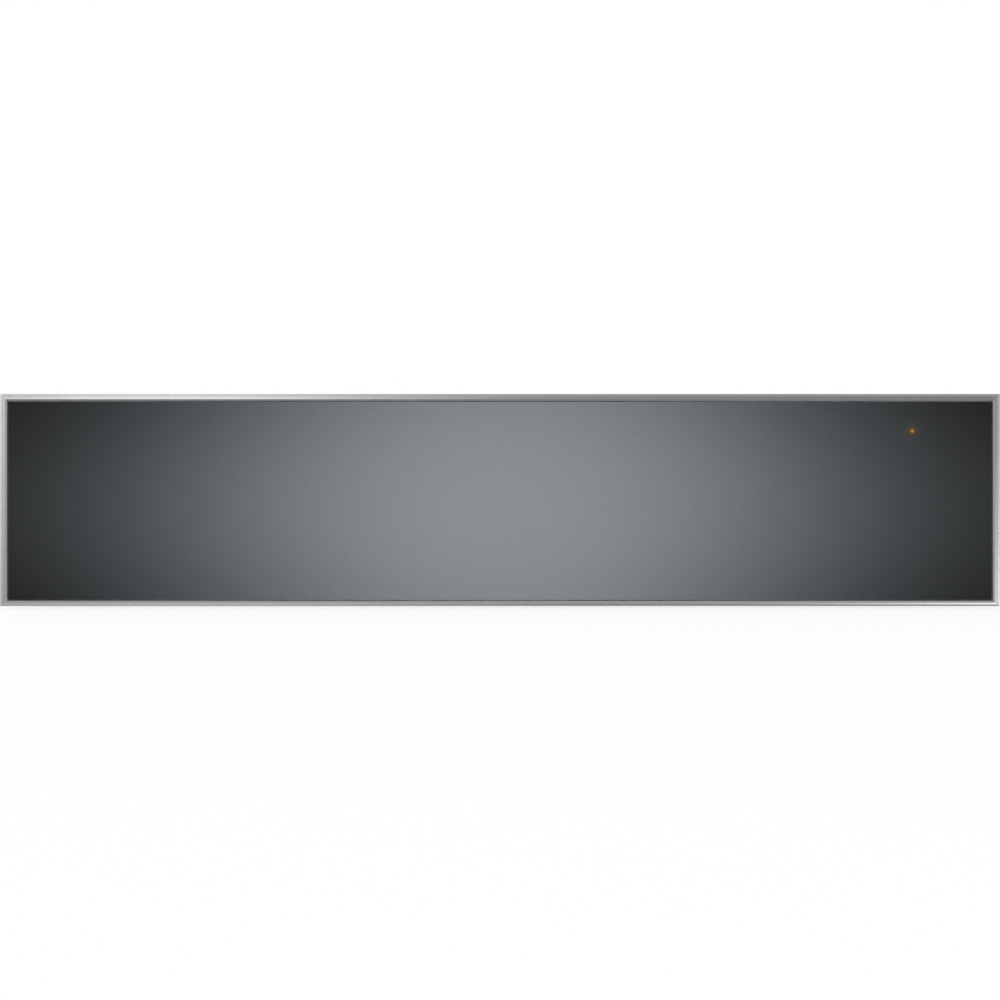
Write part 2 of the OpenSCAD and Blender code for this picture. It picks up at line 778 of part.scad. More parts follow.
module arm_elbow_pin() color("dimgray") {
    z0 = z_link_a - pin_gap;
    z1 = z_link_b + link_t + pin_gap;
    rod_z([elbow.x, elbow.y, z0], pivot_r, z1 - z0);
    for (z = [z0 - pin_head_h, z1]) rod_z([elbow.x, elbow.y, z], pivot_r + pin_lip, pin_head_h);
}

module arm_spigot() color("dimgray") {
    z0 = z_link_b + spigot_end;
    z1 = floor_z - spigot_flange_t;
    rod_z([arm_x, arm_y1, z1], spigot_flange_r, spigot_flange_t);
    rod_z([arm_x, arm_y1, z0], spigot_r, z1 - z0);
}

/* ---------- drawer ---------- */

module drawer_chassis() color("silver")
    difference() {
        union() {
            block([-x_side, y_liner, floor_z], [x_side, y_tail, floor_z + sheet]);
            both() {
                block([x_side - sheet, y_liner, floor_z], [x_side, y_tail, z_box1]);
                block([x_side - flange_w, y_liner, z_box1 - sheet], [x_side, y_tail, z_box1]);
                block([x_side - flange_w, y_liner, floor_z], [x_side, y_liner + sheet, z_box1]);
            }
        }
        both() at_slide_screws(x_side - sheet, -90) screw_hole();
        at_front_screws() screw_hole();
    }

module drawer_back() color("silver")
    block([-x_side + sheet, y_tail - sheet, floor_z + sheet],
          [x_side - sheet, y_tail, z_box1 - sheet]);

// Deep-drawn tray with a wide rim that lies on the chassis
module drawer_tub() color("lightsteelblue")
    difference() {
        union() {
            translate([0, 0, z_tub - tub_t]) linear_extrude(z_rim - z_tub + tub_t)
                round_rect([-tub_x - tub_t, tub_y0 - tub_t], [tub_x + tub_t, tub_y1 + tub_t], tub_r + tub_t);
            block([-x_side, y_liner, z_box1], [x_side, y_tail, z_rim]);
        }
        translate([0, 0, z_tub]) linear_extrude(z_rim - z_tub + over)
            round_rect([-tub_x, tub_y0], [tub_x, tub_y1], tub_r);
        rod_y([0, tub_y1 - over, fan_z], fan_hole_r, tub_t + 2 * over);
        both() for (i = [0 : return_n - 1])
            translate([tub_x - return_in - return_pitch * i, tub_y1 - over, fan_z - return_slot[1] / 2])
                cube([return_slot[0], tub_t + 2 * over, return_slot[1]]);
        rod_z([knob_x, knob_y, z_box1 - over], spindle_r + spindle_gap, tub_t + 2 * over);
    }

module glass_base() color("slategray")
    translate([0, 0, z_glass]) linear_extrude(base_glass_t)
        round_rect([-tub_x + seal_w, tub_y0 + seal_w], [tub_x - seal_w, tub_y1 - seal_w], tub_r);

// Silicone ring between the tray's wall and the glass, with a lip that carries the glass
module glass_seal() color("gray")
    difference() {
        translate([0, 0, z_tub]) linear_extrude(seal_t + base_glass_t)
            round_rect([-tub_x, tub_y0], [tub_x, tub_y1], tub_r);
        translate([0, 0, z_glass]) linear_extrude(base_glass_t + over)
            round_rect([-tub_x + seal_w, tub_y0 + seal_w], [tub_x - seal_w, tub_y1 - seal_w], tub_r);
        translate([0, 0, z_tub - over]) linear_extrude(seal_t + 2 * over)
            round_rect([-tub_x + seal_w + seal_lip, tub_y0 + seal_w + seal_lip],
                       [tub_x - seal_w - seal_lip, tub_y1 - seal_w - seal_lip], tub_r);
    }

module mat(z, t)
    block([-tub_x + mat_in, tub_y0 + mat_in, z], [tub_x - mat_in, tub_y1 - mat_in, z + t]);

module heater_mat() color("orangered") mat(z_tub - tub_t - heater_t, heater_t);

module insulation_mat() color("khaki") mat(floor_z + sheet, insulation_t);

module fan_grille() color("silver")
    difference() {
        open_r = fan_hole_r - grille_edge;
        slots = floor((open_r - grille_slot) / grille_pitch);
        rod_y([0, y_grille, fan_z], fan_hole_r + grille_rim, grille_t);
        for (i = [-slots : slots]) {
            x = i * grille_pitch;
            half = sqrt(pow(open_r, 2) - x * x);
            block([x - grille_slot / 2, y_grille - over, fan_z - half],
                  [x + grille_slot / 2, y_grille + grille_t + over, fan_z + half]);
        }
    }

module fan_motor() color("dimgray")
    difference() {
        rod_y([0, y_motor, fan_z], motor_r, motor_l);
        rod_y([0, y_motor - over, fan_z], shaft_r + run_fit, motor_l - motor_end + over);
    }

module fan_impeller() color("silver") {
    y_disc = y_blade + blade_l;
    rod_y([0, y_disc, fan_z], impeller_r, disc_t);
    rod_y([0, y_blade + hub_in, fan_z], hub_r, blade_l - hub_in + hub_tail);
    rod_y([0, y_disc, fan_z], shaft_r, y_motor + motor_l - motor_end - shaft_gap - y_disc);
    for (i = [0 : blade_n - 1])
        translate([0, 0, fan_z]) rotate([0, i * 360 / blade_n, 0])
            block([impeller_r - blade_w, y_blade, -blade_t / 2],
                  [impeller_r, y_disc + disc_t / 2, blade_t / 2]);
}

module temperature_sensor() color("white")
    rod_y([-sensor_x, y_grille, sensor_z], sensor_r, sensor_l);

module thermal_cutout() color("tan") {
    rod_y([sensor_x, y_grille, sensor_z], cutout_r, cutout_t);
    for (x = [-1, 1] * tag_x)
        block([sensor_x + x - tag.x / 2, y_grille + cutout_t / 2, sensor_z - tag.z / 2],
              [sensor_x + x + tag.x / 2, y_grille + cutout_t / 2 + tag.y, sensor_z + tag.z / 2]);
}

module latch_strikers() color("dimgray")
    both() block([latch_x - latch_w / 2, y_tail, z_latch - latch_w / 2],
                 [latch_x + latch_w / 2, y_tail + striker_t, z_latch + latch_w / 2]);

// Lead from the arm, up the side of the tray and along to the control box
module drawer_lead() color("black") {
    x_run = x_side - flange_w;
    z_floor = floor_z + sheet;
    z_run = z_floor + drawer_lead_r + lead_lift;
    wire([[arm_x, arm_y1, z_floor], [arm_x, arm_y1, z_run], [x_run, arm_y1, z_run],
          [x_run, knob_y, z_run], [x_run, knob_y, z_lead], [control_x1 - lead_end, knob_y, z_lead]],
         drawer_lead_r);
}

module drawer_screws() color("dimgray") {
    both() at_slide_screws(x_side - sheet, -90) screw(sheet + slide_steel);
    at_front_screws() screw(front_screw_l);
}

/* ---------- front ---------- */

// Solid that fits inside the frame's wall between two planes, drawn in by inset all round
module in_frame(y0, y1, inset) {
    gap = frame_wall + frame_fit + inset;
    block([-front_w / 2 + gap, y0, front_z + gap], [front_w / 2 - gap, y1, z_front1 - gap]);
}

module front_carrier() color("silver")
    difference() {
        y_plate = y_carrier + carrier_t;
        boss_l = y_liner - sheet - y_plate;
        union() {
            difference() {
                in_frame(y_carrier, y_plate + carrier_fold, 0);
                in_frame(y_plate, y_plate + carrier_fold + over, carrier_t);
            }
            at_front_screws() translate([0, 0, -2 * sheet - boss_l]) cylinder(h = boss_l, r = boss_r);
        }
        at_front_screws() translate([0, 0, -front_screw_l - over])
            cylinder(h = front_screw_l, r = screw_r + screw_fit);
        rod_y([lamp_x, y_carrier - over, z_lamp], lens_r + lens_flange + lens_flange_fit,
              carrier_t + 2 * over);
    }

module front_liner() color("lightsteelblue")
    difference() {
        in_frame(y_liner - sheet - liner_fold, y_liner, 0);
        in_frame(y_liner - sheet - liner_fold - over, y_liner - sheet, sheet);
        at_front_screws() screw_hole();
        rod_y([lamp_x, y_liner - sheet - over, z_lamp], pipe_r + pipe_fit, sheet + 2 * over);
    }

module front_glass() color("dimgray")
    difference() {
        block([-front_w / 2 + lip_w + glass_gap, y_glass, front_z + lip_foot_w + glass_gap],
              [front_w / 2 - lip_w - glass_gap, y_glass + glass_t, z_front1 - lip_w - glass_gap]);
        rod_y([lamp_x, y_glass - over, z_lamp], lens_r + run_fit, glass_t + 2 * over);
    }

// Corners of the window in the frame, grown outwards by out
function window(out) = [
    [-front_w / 2 + lip_w - out, front_z + lip_foot_w - out],
    [front_w / 2 - lip_w + out, front_z + lip_foot_w - out],
    [front_w / 2 - lip_w + out, z_front1 - lip_w + out],
    [-front_w / 2 + lip_w - out, z_front1 - lip_w + out]
];

// Wedge that chamfers one edge of the window, mitred at both of its corners
module window_wedge(i) {
    inner = window(0);
    outer = window(lip_chamfer + over);
    j = (i + 1) % 4;
    run = inner[j] - inner[i];
    intersection() {
        translate([0, y_front + lip_chamfer + over, 0]) rotate([90, 0, 0])
            linear_extrude(lip_chamfer + 2 * over) polygon([inner[i], inner[j], outer[j], outer[i]]);
        translate([inner[i].x, y_front + lip_chamfer, inner[i].y])
            rotate([0, -atan2(run.y, run.x), 0])
                rotate([90, 0, 90]) translate([0, 0, -10]) linear_extrude(norm(run) + 20)
                    polygon([[0, over], [-lip_chamfer - over, over],
                             [-lip_chamfer - over, -lip_chamfer - over], [0, 0]]);
    }
}

// Box over the front's face, drawn in by inset all round, down to depth d
module on_face(inset, d)
    block([-front_w / 2 + inset, y_front - over, front_z + inset],
          [front_w / 2 - inset, y_front + d, z_front1 - inset]);

module front_frame() color("lightgray")
    difference() {
        block([-front_w / 2, y_front, front_z], [front_w / 2, y_liner, z_front1]);
        block([-front_w / 2 + lip_w, y_front - over, front_z + lip_foot_w],
              [front_w / 2 - lip_w, y_liner, z_front1 - lip_w]);
        block([-front_w / 2 + frame_wall, y_carrier, front_z + frame_wall],
              [front_w / 2 - frame_wall, y_liner + over, z_front1 - frame_wall]);
        difference() {
            on_face(groove_in, groove_w);
            on_face(groove_in + groove_w, groove_w + over);
        }
        for (i = [0 : 3]) window_wedge(i);
    }

/* ---------- controls on the drawer's front ledge ---------- */

module control_box() color("black")
    difference() {
        block([control_x0, y_liner, z_box0], [control_x1, y_liner + control_d, z_box1]);
        block([control_x0 + control_wall, y_liner + control_wall, z_box0 + control_wall],
              [control_x1 - control_wall, y_liner + control_d - control_wall, z_box1 + over]);
        rod_y([lamp_x, y_liner - over, z_lamp], pipe_r + pipe_fit, control_wall + 2 * over);
        rod_x([control_x1 - control_wall - over, knob_y, z_lead], drawer_lead_r + screw_fit,
              control_wall + 2 * over);
    }

module control_plate() color("silver")
    difference() {
        block([control_x0, y_liner + plate_in, z_rim],
              [control_x1, y_liner + control_d + plate_in, z_rim + plate_t]);
        rod_z([knob_x, knob_y, z_rim - over], spindle_r + spindle_gap, plate_t + 2 * over);
    }

module selector_switch() color("dimgray")
    difference() {
        translate([knob_x - switch_size.x / 2, knob_y - switch_size.y / 2, z_switch]) cube(switch_size);
        rod_z([knob_x, knob_y, z_switch + switch_floor], spindle_r + run_fit, switch_size.z);
    }

module knob_spindle() color("gainsboro") {
    z0 = z_switch + switch_floor + spindle_end;
    rod_z([knob_x, knob_y, z0], spindle_r, z_knob + knob_h - knob_roof - z0);
}

// Turned knob with a stepped edge and a pointer line milled in its top
module temperature_knob() color("silver")
    difference() {
        z_top = z_knob + knob_h;
        union() {
            rod_z([knob_x, knob_y, z_knob], knob_r, knob_h - knob_step);
            rod_z([knob_x, knob_y, z_knob], knob_r - knob_step, knob_h);
        }
        rod_z([knob_x, knob_y, z_knob - over], spindle_r + run_fit, knob_h - knob_roof + over);
        y_end = knob_y + knob_r - 2 * knob_step;
        block([knob_x - pointer.x / 2, y_end - pointer.y, z_top - pointer.z],
              [knob_x + pointer.x / 2, y_end, z_top + over]);
    }

module lamp_board() color("darkgreen") {
    block([control_x1 - control_wall - lamp_board_w, lamp_board_y, z_switch],
          [control_x1 - control_wall, lamp_board_y + lamp_board_t, z_box1 - lamp_board_gap]);
    rod_y([lamp_x, lamp_board_y - led_l, z_lamp], led_r, led_l);
}

module light_pipe() color("whitesmoke") {
    y0 = y_glass + glass_t + lens_flange_t;
    rod_y([lamp_x, y0, z_lamp], pipe_r, lamp_board_y - led_l - led_gap - y0);
}

module lamp_lens() color("orange") {
    rod_y([lamp_x, y_glass, z_lamp], lens_r, glass_t);
    rod_y([lamp_x, y_glass + glass_t, z_lamp], lens_r + lens_flange, lens_flange_t);
}

housing_base();
left() housing_side();  // housing_side_left
housing_side();  // housing_side_right
housing_cover();
rear_panel();
housing_screws();
left() slide_outer();  // slide_outer_left
slide_outer();  // slide_outer_right
left() latch_body();  // latch_body_left
latch_body();  // latch_body_right
mains_inlet();
inlet_pins();
power_board();
board_parts();
housing_leads();
arm_bracket();
left() latch_plunger();  // latch_plunger_left
latch_plunger();  // latch_plunger_right
left() slide_middle();  // slide_middle_left
slide_middle();  // slide_middle_right
left() ball_cage_outer();  // ball_cage_outer_left
ball_cage_outer();  // ball_cage_outer_right
left() ball_cage_inner();  // ball_cage_inner_left
ball_cage_inner();  // ball_cage_inner_right
arm_link_rear();
arm_lead_rear();
arm_elbow_pin();
arm_link_front();
arm_lead_front();
drawer_chassis();
drawer_back();
drawer_tub();
glass_base();
glass_seal();
heater_mat();
insulation_mat();
left() slide_inner();  // slide_inner_left
slide_inner();  // slide_inner_right
fan_grille();
fan_motor();
temperature_sensor();
thermal_cutout();
latch_strikers();
arm_spigot();
drawer_lead();
drawer_screws();
front_carrier();
front_liner();
front_glass();
front_frame();
control_box();
control_plate();
selector_switch();
lamp_board();
light_pipe();
lamp_lens();
fan_impeller();
temperature_knob();
knob_spindle();
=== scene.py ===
import json
import math

import bmesh
import bpy
from mathutils import Matrix, Vector

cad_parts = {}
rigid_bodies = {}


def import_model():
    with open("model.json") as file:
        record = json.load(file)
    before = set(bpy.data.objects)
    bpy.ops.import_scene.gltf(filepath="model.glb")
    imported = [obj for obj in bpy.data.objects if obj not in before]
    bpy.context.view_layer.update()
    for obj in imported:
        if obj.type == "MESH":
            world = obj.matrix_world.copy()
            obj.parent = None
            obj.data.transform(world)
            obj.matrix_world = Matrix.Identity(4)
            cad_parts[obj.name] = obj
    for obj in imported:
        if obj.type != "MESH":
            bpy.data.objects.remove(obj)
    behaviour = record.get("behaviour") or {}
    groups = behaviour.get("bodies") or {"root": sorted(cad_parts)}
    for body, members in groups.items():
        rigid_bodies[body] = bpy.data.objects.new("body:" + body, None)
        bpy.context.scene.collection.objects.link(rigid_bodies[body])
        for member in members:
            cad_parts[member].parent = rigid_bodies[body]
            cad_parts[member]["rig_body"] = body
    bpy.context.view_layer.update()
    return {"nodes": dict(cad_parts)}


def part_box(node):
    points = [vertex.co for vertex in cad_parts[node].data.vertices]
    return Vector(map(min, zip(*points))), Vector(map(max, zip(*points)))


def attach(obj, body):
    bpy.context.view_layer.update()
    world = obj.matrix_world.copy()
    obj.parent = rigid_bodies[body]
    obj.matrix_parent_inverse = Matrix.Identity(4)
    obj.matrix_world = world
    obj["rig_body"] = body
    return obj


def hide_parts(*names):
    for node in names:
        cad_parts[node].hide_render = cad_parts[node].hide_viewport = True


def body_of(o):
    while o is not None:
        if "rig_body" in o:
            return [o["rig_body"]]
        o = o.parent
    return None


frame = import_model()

nodes = frame["nodes"]


# ---------------------------------------------------------------------------------------------
# Camera: it looks straight at the middle of the front, and the front fills the picture's width.
def linked(name, data):
    """A new object at the origin, in the scene."""
    made = bpy.data.objects.new(name, data)
    bpy.context.scene.collection.objects.link(made)
    return made


front_low, front_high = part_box("front_frame")
camera_distance = 1.5
sensor = 36.0

camera_data = bpy.data.cameras.new("camera")
camera_data.sensor_width = sensor
camera_data.lens = sensor * camera_distance / (front_high.x - front_low.x)
camera = linked("camera", camera_data)
camera.location = (0, front_low.y - camera_distance, (front_low.z + front_high.z) / 2)
camera.rotation_euler = (math.radians(90), 0, 0)
bpy.context.scene.camera = camera


# ---------------------------------------------------------------------------------------------
# Studio: a white room with a dark wall behind the camera, on which soft glows stand that the
# metal and the glass mirror. A soft light hangs overhead, and the floor is pale and matt.
class Shade:
    """A socket in a node tree. Arithmetic on it adds Math nodes, and node() adds any other."""

    def __init__(self, socket):
        self.socket = socket
        self.tree = socket.id_data

    def node(self, kind, settings={}, inputs={}, output=0):
        made = self.tree.nodes.new(kind)
        for name, value in settings.items():
            setattr(made, name, value)
        for key, value in inputs.items():
            if isinstance(value, Shade):
                self.tree.links.new(value.socket, made.inputs[key])
            else:
                made.inputs[key].default_value = value
        return Shade(made.outputs[output])

    def math(self, operation, first, second=0.0):
        return self.node("ShaderNodeMath", {"operation": operation}, {0: first, 1: second})

    def __add__(self, other):
        return self.math("ADD", self, other)

    __radd__ = __add__

    def __sub__(self, other):
        return self.math("SUBTRACT", self, other)

    def __rsub__(self, other):
        return self.math("SUBTRACT", other, self)

    def __mul__(self, other):
        return self.math("MULTIPLY", self, other)

    __rmul__ = __mul__

    def __truediv__(self, other):
        return self.math("DIVIDE", self, other)

    def __rtruediv__(self, other):
        return self.math("DIVIDE", other, self)

    def __neg__(self):
        return self * -1.0

    def ramp(self, low, high, start=0.0, end=1.0):
        """start where this value is low, end where it is high, and smooth between them."""
        return self.node("ShaderNodeMapRange", {"interpolation_type": "SMOOTHSTEP"},
                         {0: self, 1: low, 2: high, 3: start, 4: end})

    def mix(self, *colours):
        """The first colour where this value is 0, and the second where it is 1."""
        first, second = [colour if isinstance(colour, Shade) else (*colour, 1.0)
                         for colour in colours]
        return self.node("ShaderNodeMix", {"data_type": "RGBA"}, {0: self, 6: first, 7: second}, 2)

    def parts(self):
        """The three parts of a vector."""
        made = self.node("ShaderNodeSeparateXYZ", {}, {0: self}).socket.node
        return [Shade(output) for output in made.outputs]


def ray_kinds(tree):
    """1 for rays that come from the camera, from a gloss, and from a mirror or clear thing."""
    path = tree.nodes.new("ShaderNodeLightPath")
    camera_ray, glossy, clear = [Shade(path.outputs[f"Is {kind} Ray"])
                                 for kind in ("Camera", "Glossy", "Transmission")]
    return camera_ray, glossy, clear


world = bpy.data.worlds.new("studio")
bpy.context.scene.world = world
world.use_nodes = True
world.cycles.sampling_method = "NONE"
background = world.node_tree.nodes["Background"]
direction = Shade(world.node_tree.nodes.new("ShaderNodeTexCoord").outputs["Generated"])
across, ahead, up = direction.parts()
facing = ahead.ramp(0.10, 0.35, 1.0, 0.0)


def glow(x, z, width, height, strength, pinch=0.0, edge=1.0):
    """A soft light on the dark wall, by its direction. A pinch draws its corners in, and an
    edge above 1 makes its rim steeper."""
    sideways = (across - x) / width
    upwards = (up - z) / height
    sideways = sideways * sideways
    upwards = upwards * upwards
    spread = sideways + upwards + sideways * upwards * pinch
    spread = spread.math("POWER", spread, edge)
    return spread.math("EXPONENT", -spread) * facing * strength


dark_high = 0.21
dark_wide = 0.36
far_up = up.math("ABSOLUTE", up) / dark_high
far_across = across.math("ABSOLUTE", across) / dark_wide
from_middle = far_up.math("MAXIMUM", far_up, far_across)
wall = (from_middle.ramp(0.55, 1.0, 0.01, 0.28) + up.ramp(0.28, 0.42, 0.0, 0.14)
        + far_across.ramp(2.2, 2.6, 0.0, 0.27))
ceiling_and_floor = 0.56 + up.ramp(0.0, 0.8, 0.0, 0.34) + up.ramp(-0.5, 0.0, 0.2, 0.0)
# The first glow shows in the glass. The others show in the frame, whose lips slope to them.
mirrored = (
    wall * facing + (1.0 - facing) * ceiling_and_floor
    + glow(0.001, -0.003, 0.130, 0.092, 1.78, 2.0, 1.06)
    + glow(-0.132, 0.33, 0.074, 0.13, 1.85)
    + glow(0.215, -0.33, 0.060, 0.10, 1.7)
    + glow(-0.12, -0.33, 0.110, 0.10, 0.45)
    + glow(-0.50, 0.09, 0.15, 0.105, 1.15, 0.0, 1.3)
    + glow(0.52, -0.080, 0.16, 0.055, 2.2, 0.0, 1.3)
)
ambient = 0.62
camera_ray, glossy, clear = ray_kinds(world.node_tree)
seen = camera_ray + clear
seen = seen.math("MINIMUM", seen, 1.0) * (1.0 - glossy)
level = seen + glossy * mirrored + (1.0 - seen - glossy) * ambient
world.node_tree.links.new(level.socket, background.inputs["Strength"])
background.inputs["Color"].default_value = (1, 1, 1, 1)

softbox_data = bpy.data.lights.new("softbox", "AREA")
softbox_data.shape = "RECTANGLE"
softbox_data.size = 2.4
softbox_data.size_y = 1.8
softbox_data.energy = 34
softbox = linked("softbox", softbox_data)
softbox.location = (-0.5, -1.1, 2.4)
softbox.rotation_euler = (-softbox.location).to_track_quat("-Z", "Y").to_euler()
softbox.visible_camera = False
softbox.visible_glossy = False

floor_half = 6.0
floor_drop = 0.0002
floor_mesh = bpy.data.meshes.new("floor")
floor_mesh.from_pydata([(x * floor_half, y * floor_half, -floor_drop)
                        for x, y in ((-1, -1), (1, -1), (1, 1), (-1, 1))], [], [(0, 1, 2, 3)])
floor = linked("floor", floor_mesh)

floor_paint = bpy.data.materials.new("floor_paint")
floor_paint.use_nodes = True
floor_tree = floor_paint.node_tree
floor_tree.nodes.remove(floor_tree.nodes["Principled BSDF"])
at = Shade(floor_tree.nodes.new("ShaderNodeTexCoord").outputs["Object"])
distance = at.node("ShaderNodeVectorMath", {"operation": "LENGTH"}, {0: at}, "Value")
lit = at.node("ShaderNodeBsdfDiffuse", {}, {"Color": (0.86, 0.86, 0.86, 1)})
white = at.node("ShaderNodeEmission", {}, {"Color": (1, 1, 1, 1), "Strength": 1.0})
through = at.node("ShaderNodeBsdfTransparent")
camera_ray, glossy, clear = ray_kinds(floor_tree)
to_eye = camera_ray * distance.ramp(0.35, 1.6, 0.84, 1.0)
shown = at.node("ShaderNodeMixShader", {}, {0: to_eye, 1: lit, 2: white})
unseen = at.math("MINIMUM", glossy + clear, 1.0)
whole = at.node("ShaderNodeMixShader", {}, {0: unseen, 1: shown, 2: through})
floor_tree.links.new(whole.socket, floor_tree.nodes["Material Output"].inputs["Surface"])
floor_mesh.materials.append(floor_paint)

bpy.context.scene.view_settings.view_transform = "Standard"


# ---------------------------------------------------------------------------------------------
# Housing: base, two sides, cover and rear panel, folded from zinc-plated steel sheet with a
# faint spangle and rolling marks, and screwed together. The edges are deburred.
def surface(name, constants, paint):
    """A material. Constants go on the shader's own sockets, and paint gives what varies."""
    material = bpy.data.materials.new(name)
    material.use_nodes = True
    tree = material.node_tree
    shader = tree.nodes["Principled BSDF"]
    for key, value in constants.items():
        shader.inputs[key].default_value = value
    place = Shade(tree.nodes.new("ShaderNodeTexCoord").outputs["Object"])
    for key, value in paint(place).items():
        tree.links.new(value.socket, shader.inputs[key])
    return material


def grain(place, scale, detail=3.0, roughness=0.5, stretch=None):
    """Noise from 0 to 1, with that many waves a metre. A stretch multiplies them each way."""
    if stretch:
        place = place.node("ShaderNodeVectorMath", {"operation": "MULTIPLY"},
                           {0: place, 1: stretch})
    return place.node("ShaderNodeTexNoise", {}, {"Vector": place, "Scale": scale,
                                                 "Detail": detail, "Roughness": roughness})


def bump(height, depth):
    """A Normal from a height of 0 to 1 that stands for a depth in metres."""
    return height.node("ShaderNodeBump", {}, {"Height": height, "Distance": depth})


def zinc_paint(place):
    spangle = place.node("ShaderNodeTexVoronoi", {}, {"Vector": place, "Scale": 130.0}, "Color")
    flake = spangle.parts()[0]
    fine = grain(place, 1100.0, 2.0)
    cloud = grain(place, 9.0)
    rolled = grain(place, 6.0, 4.0, 0.6, (1.0, 60.0, 60.0))
    tone = flake * 0.28 + fine * 0.30 + cloud * 0.30 + rolled * 0.30
    return {
        "Base Color": tone.ramp(0.3, 0.9).mix((0.47, 0.485, 0.50), (0.63, 0.64, 0.65)),
        "Roughness": flake * 0.08 + cloud * 0.16 + rolled * 0.12 + 0.24,
        "Normal": bump(rolled * 0.6 + fine * 0.4, 0.00005),
    }


metal = {"Metallic": 1.0}
zinc = surface("zinc_plated_sheet", metal, zinc_paint)


def piece(name, mesh, material, *stood_for):
    """A new piece in place of CAD nodes: it rides on their body, wears the material, and hides them.
    """
    made = linked(name, mesh)
    mesh.materials.clear()
    mesh.materials.append(material)
    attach(made, body_of(nodes[stood_for[0]])[0])
    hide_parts(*stood_for)
    return made


def joined(node):
    """A CAD node's shape with its loose triangles merged into whole faces."""
    triangles = nodes[node].data.copy()
    for name in ("custom_normal", "sharp_edge", "sharp_face"):
        if name in triangles.attributes:
            triangles.attributes.remove(triangles.attributes[name])
    shape = bmesh.new()
    shape.from_mesh(triangles)
    bpy.data.meshes.remove(triangles)
    bmesh.ops.remove_doubles(shape, verts=shape.verts, dist=0.000004)
    bmesh.ops.dissolve_limit(shape, angle_limit=math.radians(0.5), verts=shape.verts,
                             edges=shape.edges)
    return shape


def meshed(name, shape):
    """A mesh from a bmesh, which goes."""
    mesh = bpy.data.meshes.new(name)
    shape.to_mesh(mesh)
    shape.free()
    return mesh


def rounded_edges(made, width):
    """Rounds every edge that turns by more than 35 degrees."""
    bevel = made.modifiers.new("edges", "BEVEL")
    bevel.width = width
    bevel.segments = 2
    bevel.limit_method = "ANGLE"
    bevel.angle_limit = math.radians(35)
    bevel.harden_normals = True


def formed(material, width, *names):
    """Stands a finished copy in place of each node, with its edges rounded to that width."""
    for name in names:
        mesh = meshed(name + "_finished", joined(name))
        mesh.shade_smooth()
        rounded_edges(piece(name + "_finished", mesh, material, name), width)


sheet_edge = 0.0002
formed(zinc, sheet_edge, "housing_base", "housing_side_left", "housing_side_right",
       "housing_cover", "rear_panel")


# ---------------------------------------------------------------------------------------------
# Screws: cross-recessed steel screws. Countersunk ones hold the cover and the inlet, and
# pan-head ones hold the rear panel, the slides and the front.
def mottled(name, constants, dark, light, tone, rough, texture=None, depth=0.0, span=None):
    """A surface of one or two layers of noise, each given as grain() takes it. The tone goes
    from dark to light, over a span if given. The texture, or else the tone, gives the
    roughness from its least to its most, and the relief."""
    def paint(place):
        toned = grain(place, *tone)
        marks = grain(place, *texture) if texture else toned
        least, most = rough
        varied = {"Base Color": (toned.ramp(*span) if span else toned).mix(dark, light),
                  "Roughness": marks * (most - least) + least}
        if depth:
            varied["Normal"] = bump(marks, depth)
        return varied
    return surface(name, constants, paint)


screw_steel = mottled("screw_steel", metal, (0.42, 0.42, 0.43), (0.60, 0.60, 0.60), (400.0,),
                      (0.20, 0.45), (2600.0, 2.0), 0.00001, (0.35, 0.7))


def geometry_tree(name, sizes):
    """An empty Geometry Nodes tree, its inputs by name, and its output node."""
    tree = bpy.data.node_groups.new(name, "GeometryNodeTree")
    tree.interface.new_socket("Geometry", in_out="INPUT", socket_type="NodeSocketGeometry")
    for size_name in sizes:
        tree.interface.new_socket(size_name, in_out="INPUT", socket_type="NodeSocketFloat")
    tree.interface.new_socket("Geometry", in_out="OUTPUT", socket_type="NodeSocketGeometry")
    given = tree.nodes.new("NodeGroupInput")
    made = tree.nodes.new("NodeGroupOutput")
    return {socket.name: Shade(socket) for socket in given.outputs if socket.name}, made


def placed(points, instance, output, material):
    """Puts an instance on each point at its turn, makes all of them real, and ends the tree."""
    turn = points.node("GeometryNodeInputNamedAttribute", {"data_type": "FLOAT_VECTOR"},
                       {"Name": "turn"})
    rotation = turn.node("FunctionNodeEulerToRotation", {}, {0: turn})
    copies = points.node("GeometryNodeInstanceOnPoints", {},
                         {"Points": points, "Instance": instance, "Rotation": rotation})
    real = copies.node("GeometryNodeRealizeInstances", {}, {0: copies})
    painted = real.node("GeometryNodeSetMaterial", {}, {"Geometry": real, "Material": material})
    painted.tree.links.new(painted.socket, output.inputs[0])
    return painted.tree


def applied(holder):
    """An object's mesh with its modifiers applied. The object goes."""
    bpy.context.view_layer.update()
    evaluated = holder.evaluated_get(bpy.context.evaluated_depsgraph_get())
    mesh = bpy.data.meshes.new_from_object(evaluated)
    holder.modifiers.clear()
    bpy.data.objects.remove(holder)
    return mesh


def smoothed(mesh, turn):
    """The mesh, smooth but for the edges that turn by more than that many degrees."""
    mesh.shade_smooth()
    mesh.set_sharp_from_angle(angle=math.radians(turn))
    return mesh


def grown(name, tree, sizes, places, material, *stood_for):
    """Runs a tree on (point, turn) places, and keeps the result as a plain mesh in a piece."""
    mesh = bpy.data.meshes.new(name)
    mesh.from_pydata([point for point, turn in places], [], [])
    turn_values = mesh.attributes.new("turn", "FLOAT_VECTOR", "POINT")
    for item, (point, turn) in zip(turn_values.data, places):
        item.vector = turn.to_euler()
    holder = linked(name + "_points", mesh)
    grower = holder.modifiers.new("grower", "NODES")
    grower.node_group = tree
    for item in tree.interface.items_tree:
        if item.in_out == "INPUT" and item.name in sizes:
            grower[item.identifier] = sizes[item.name]
    result = applied(holder)
    result.name = name
    return piece(name, smoothed(result, 35), material, *stood_for)


def upright(axis):
    """The turn that stands Z along an axis."""
    return Vector(axis).to_track_quat("Z", "Y").to_matrix()


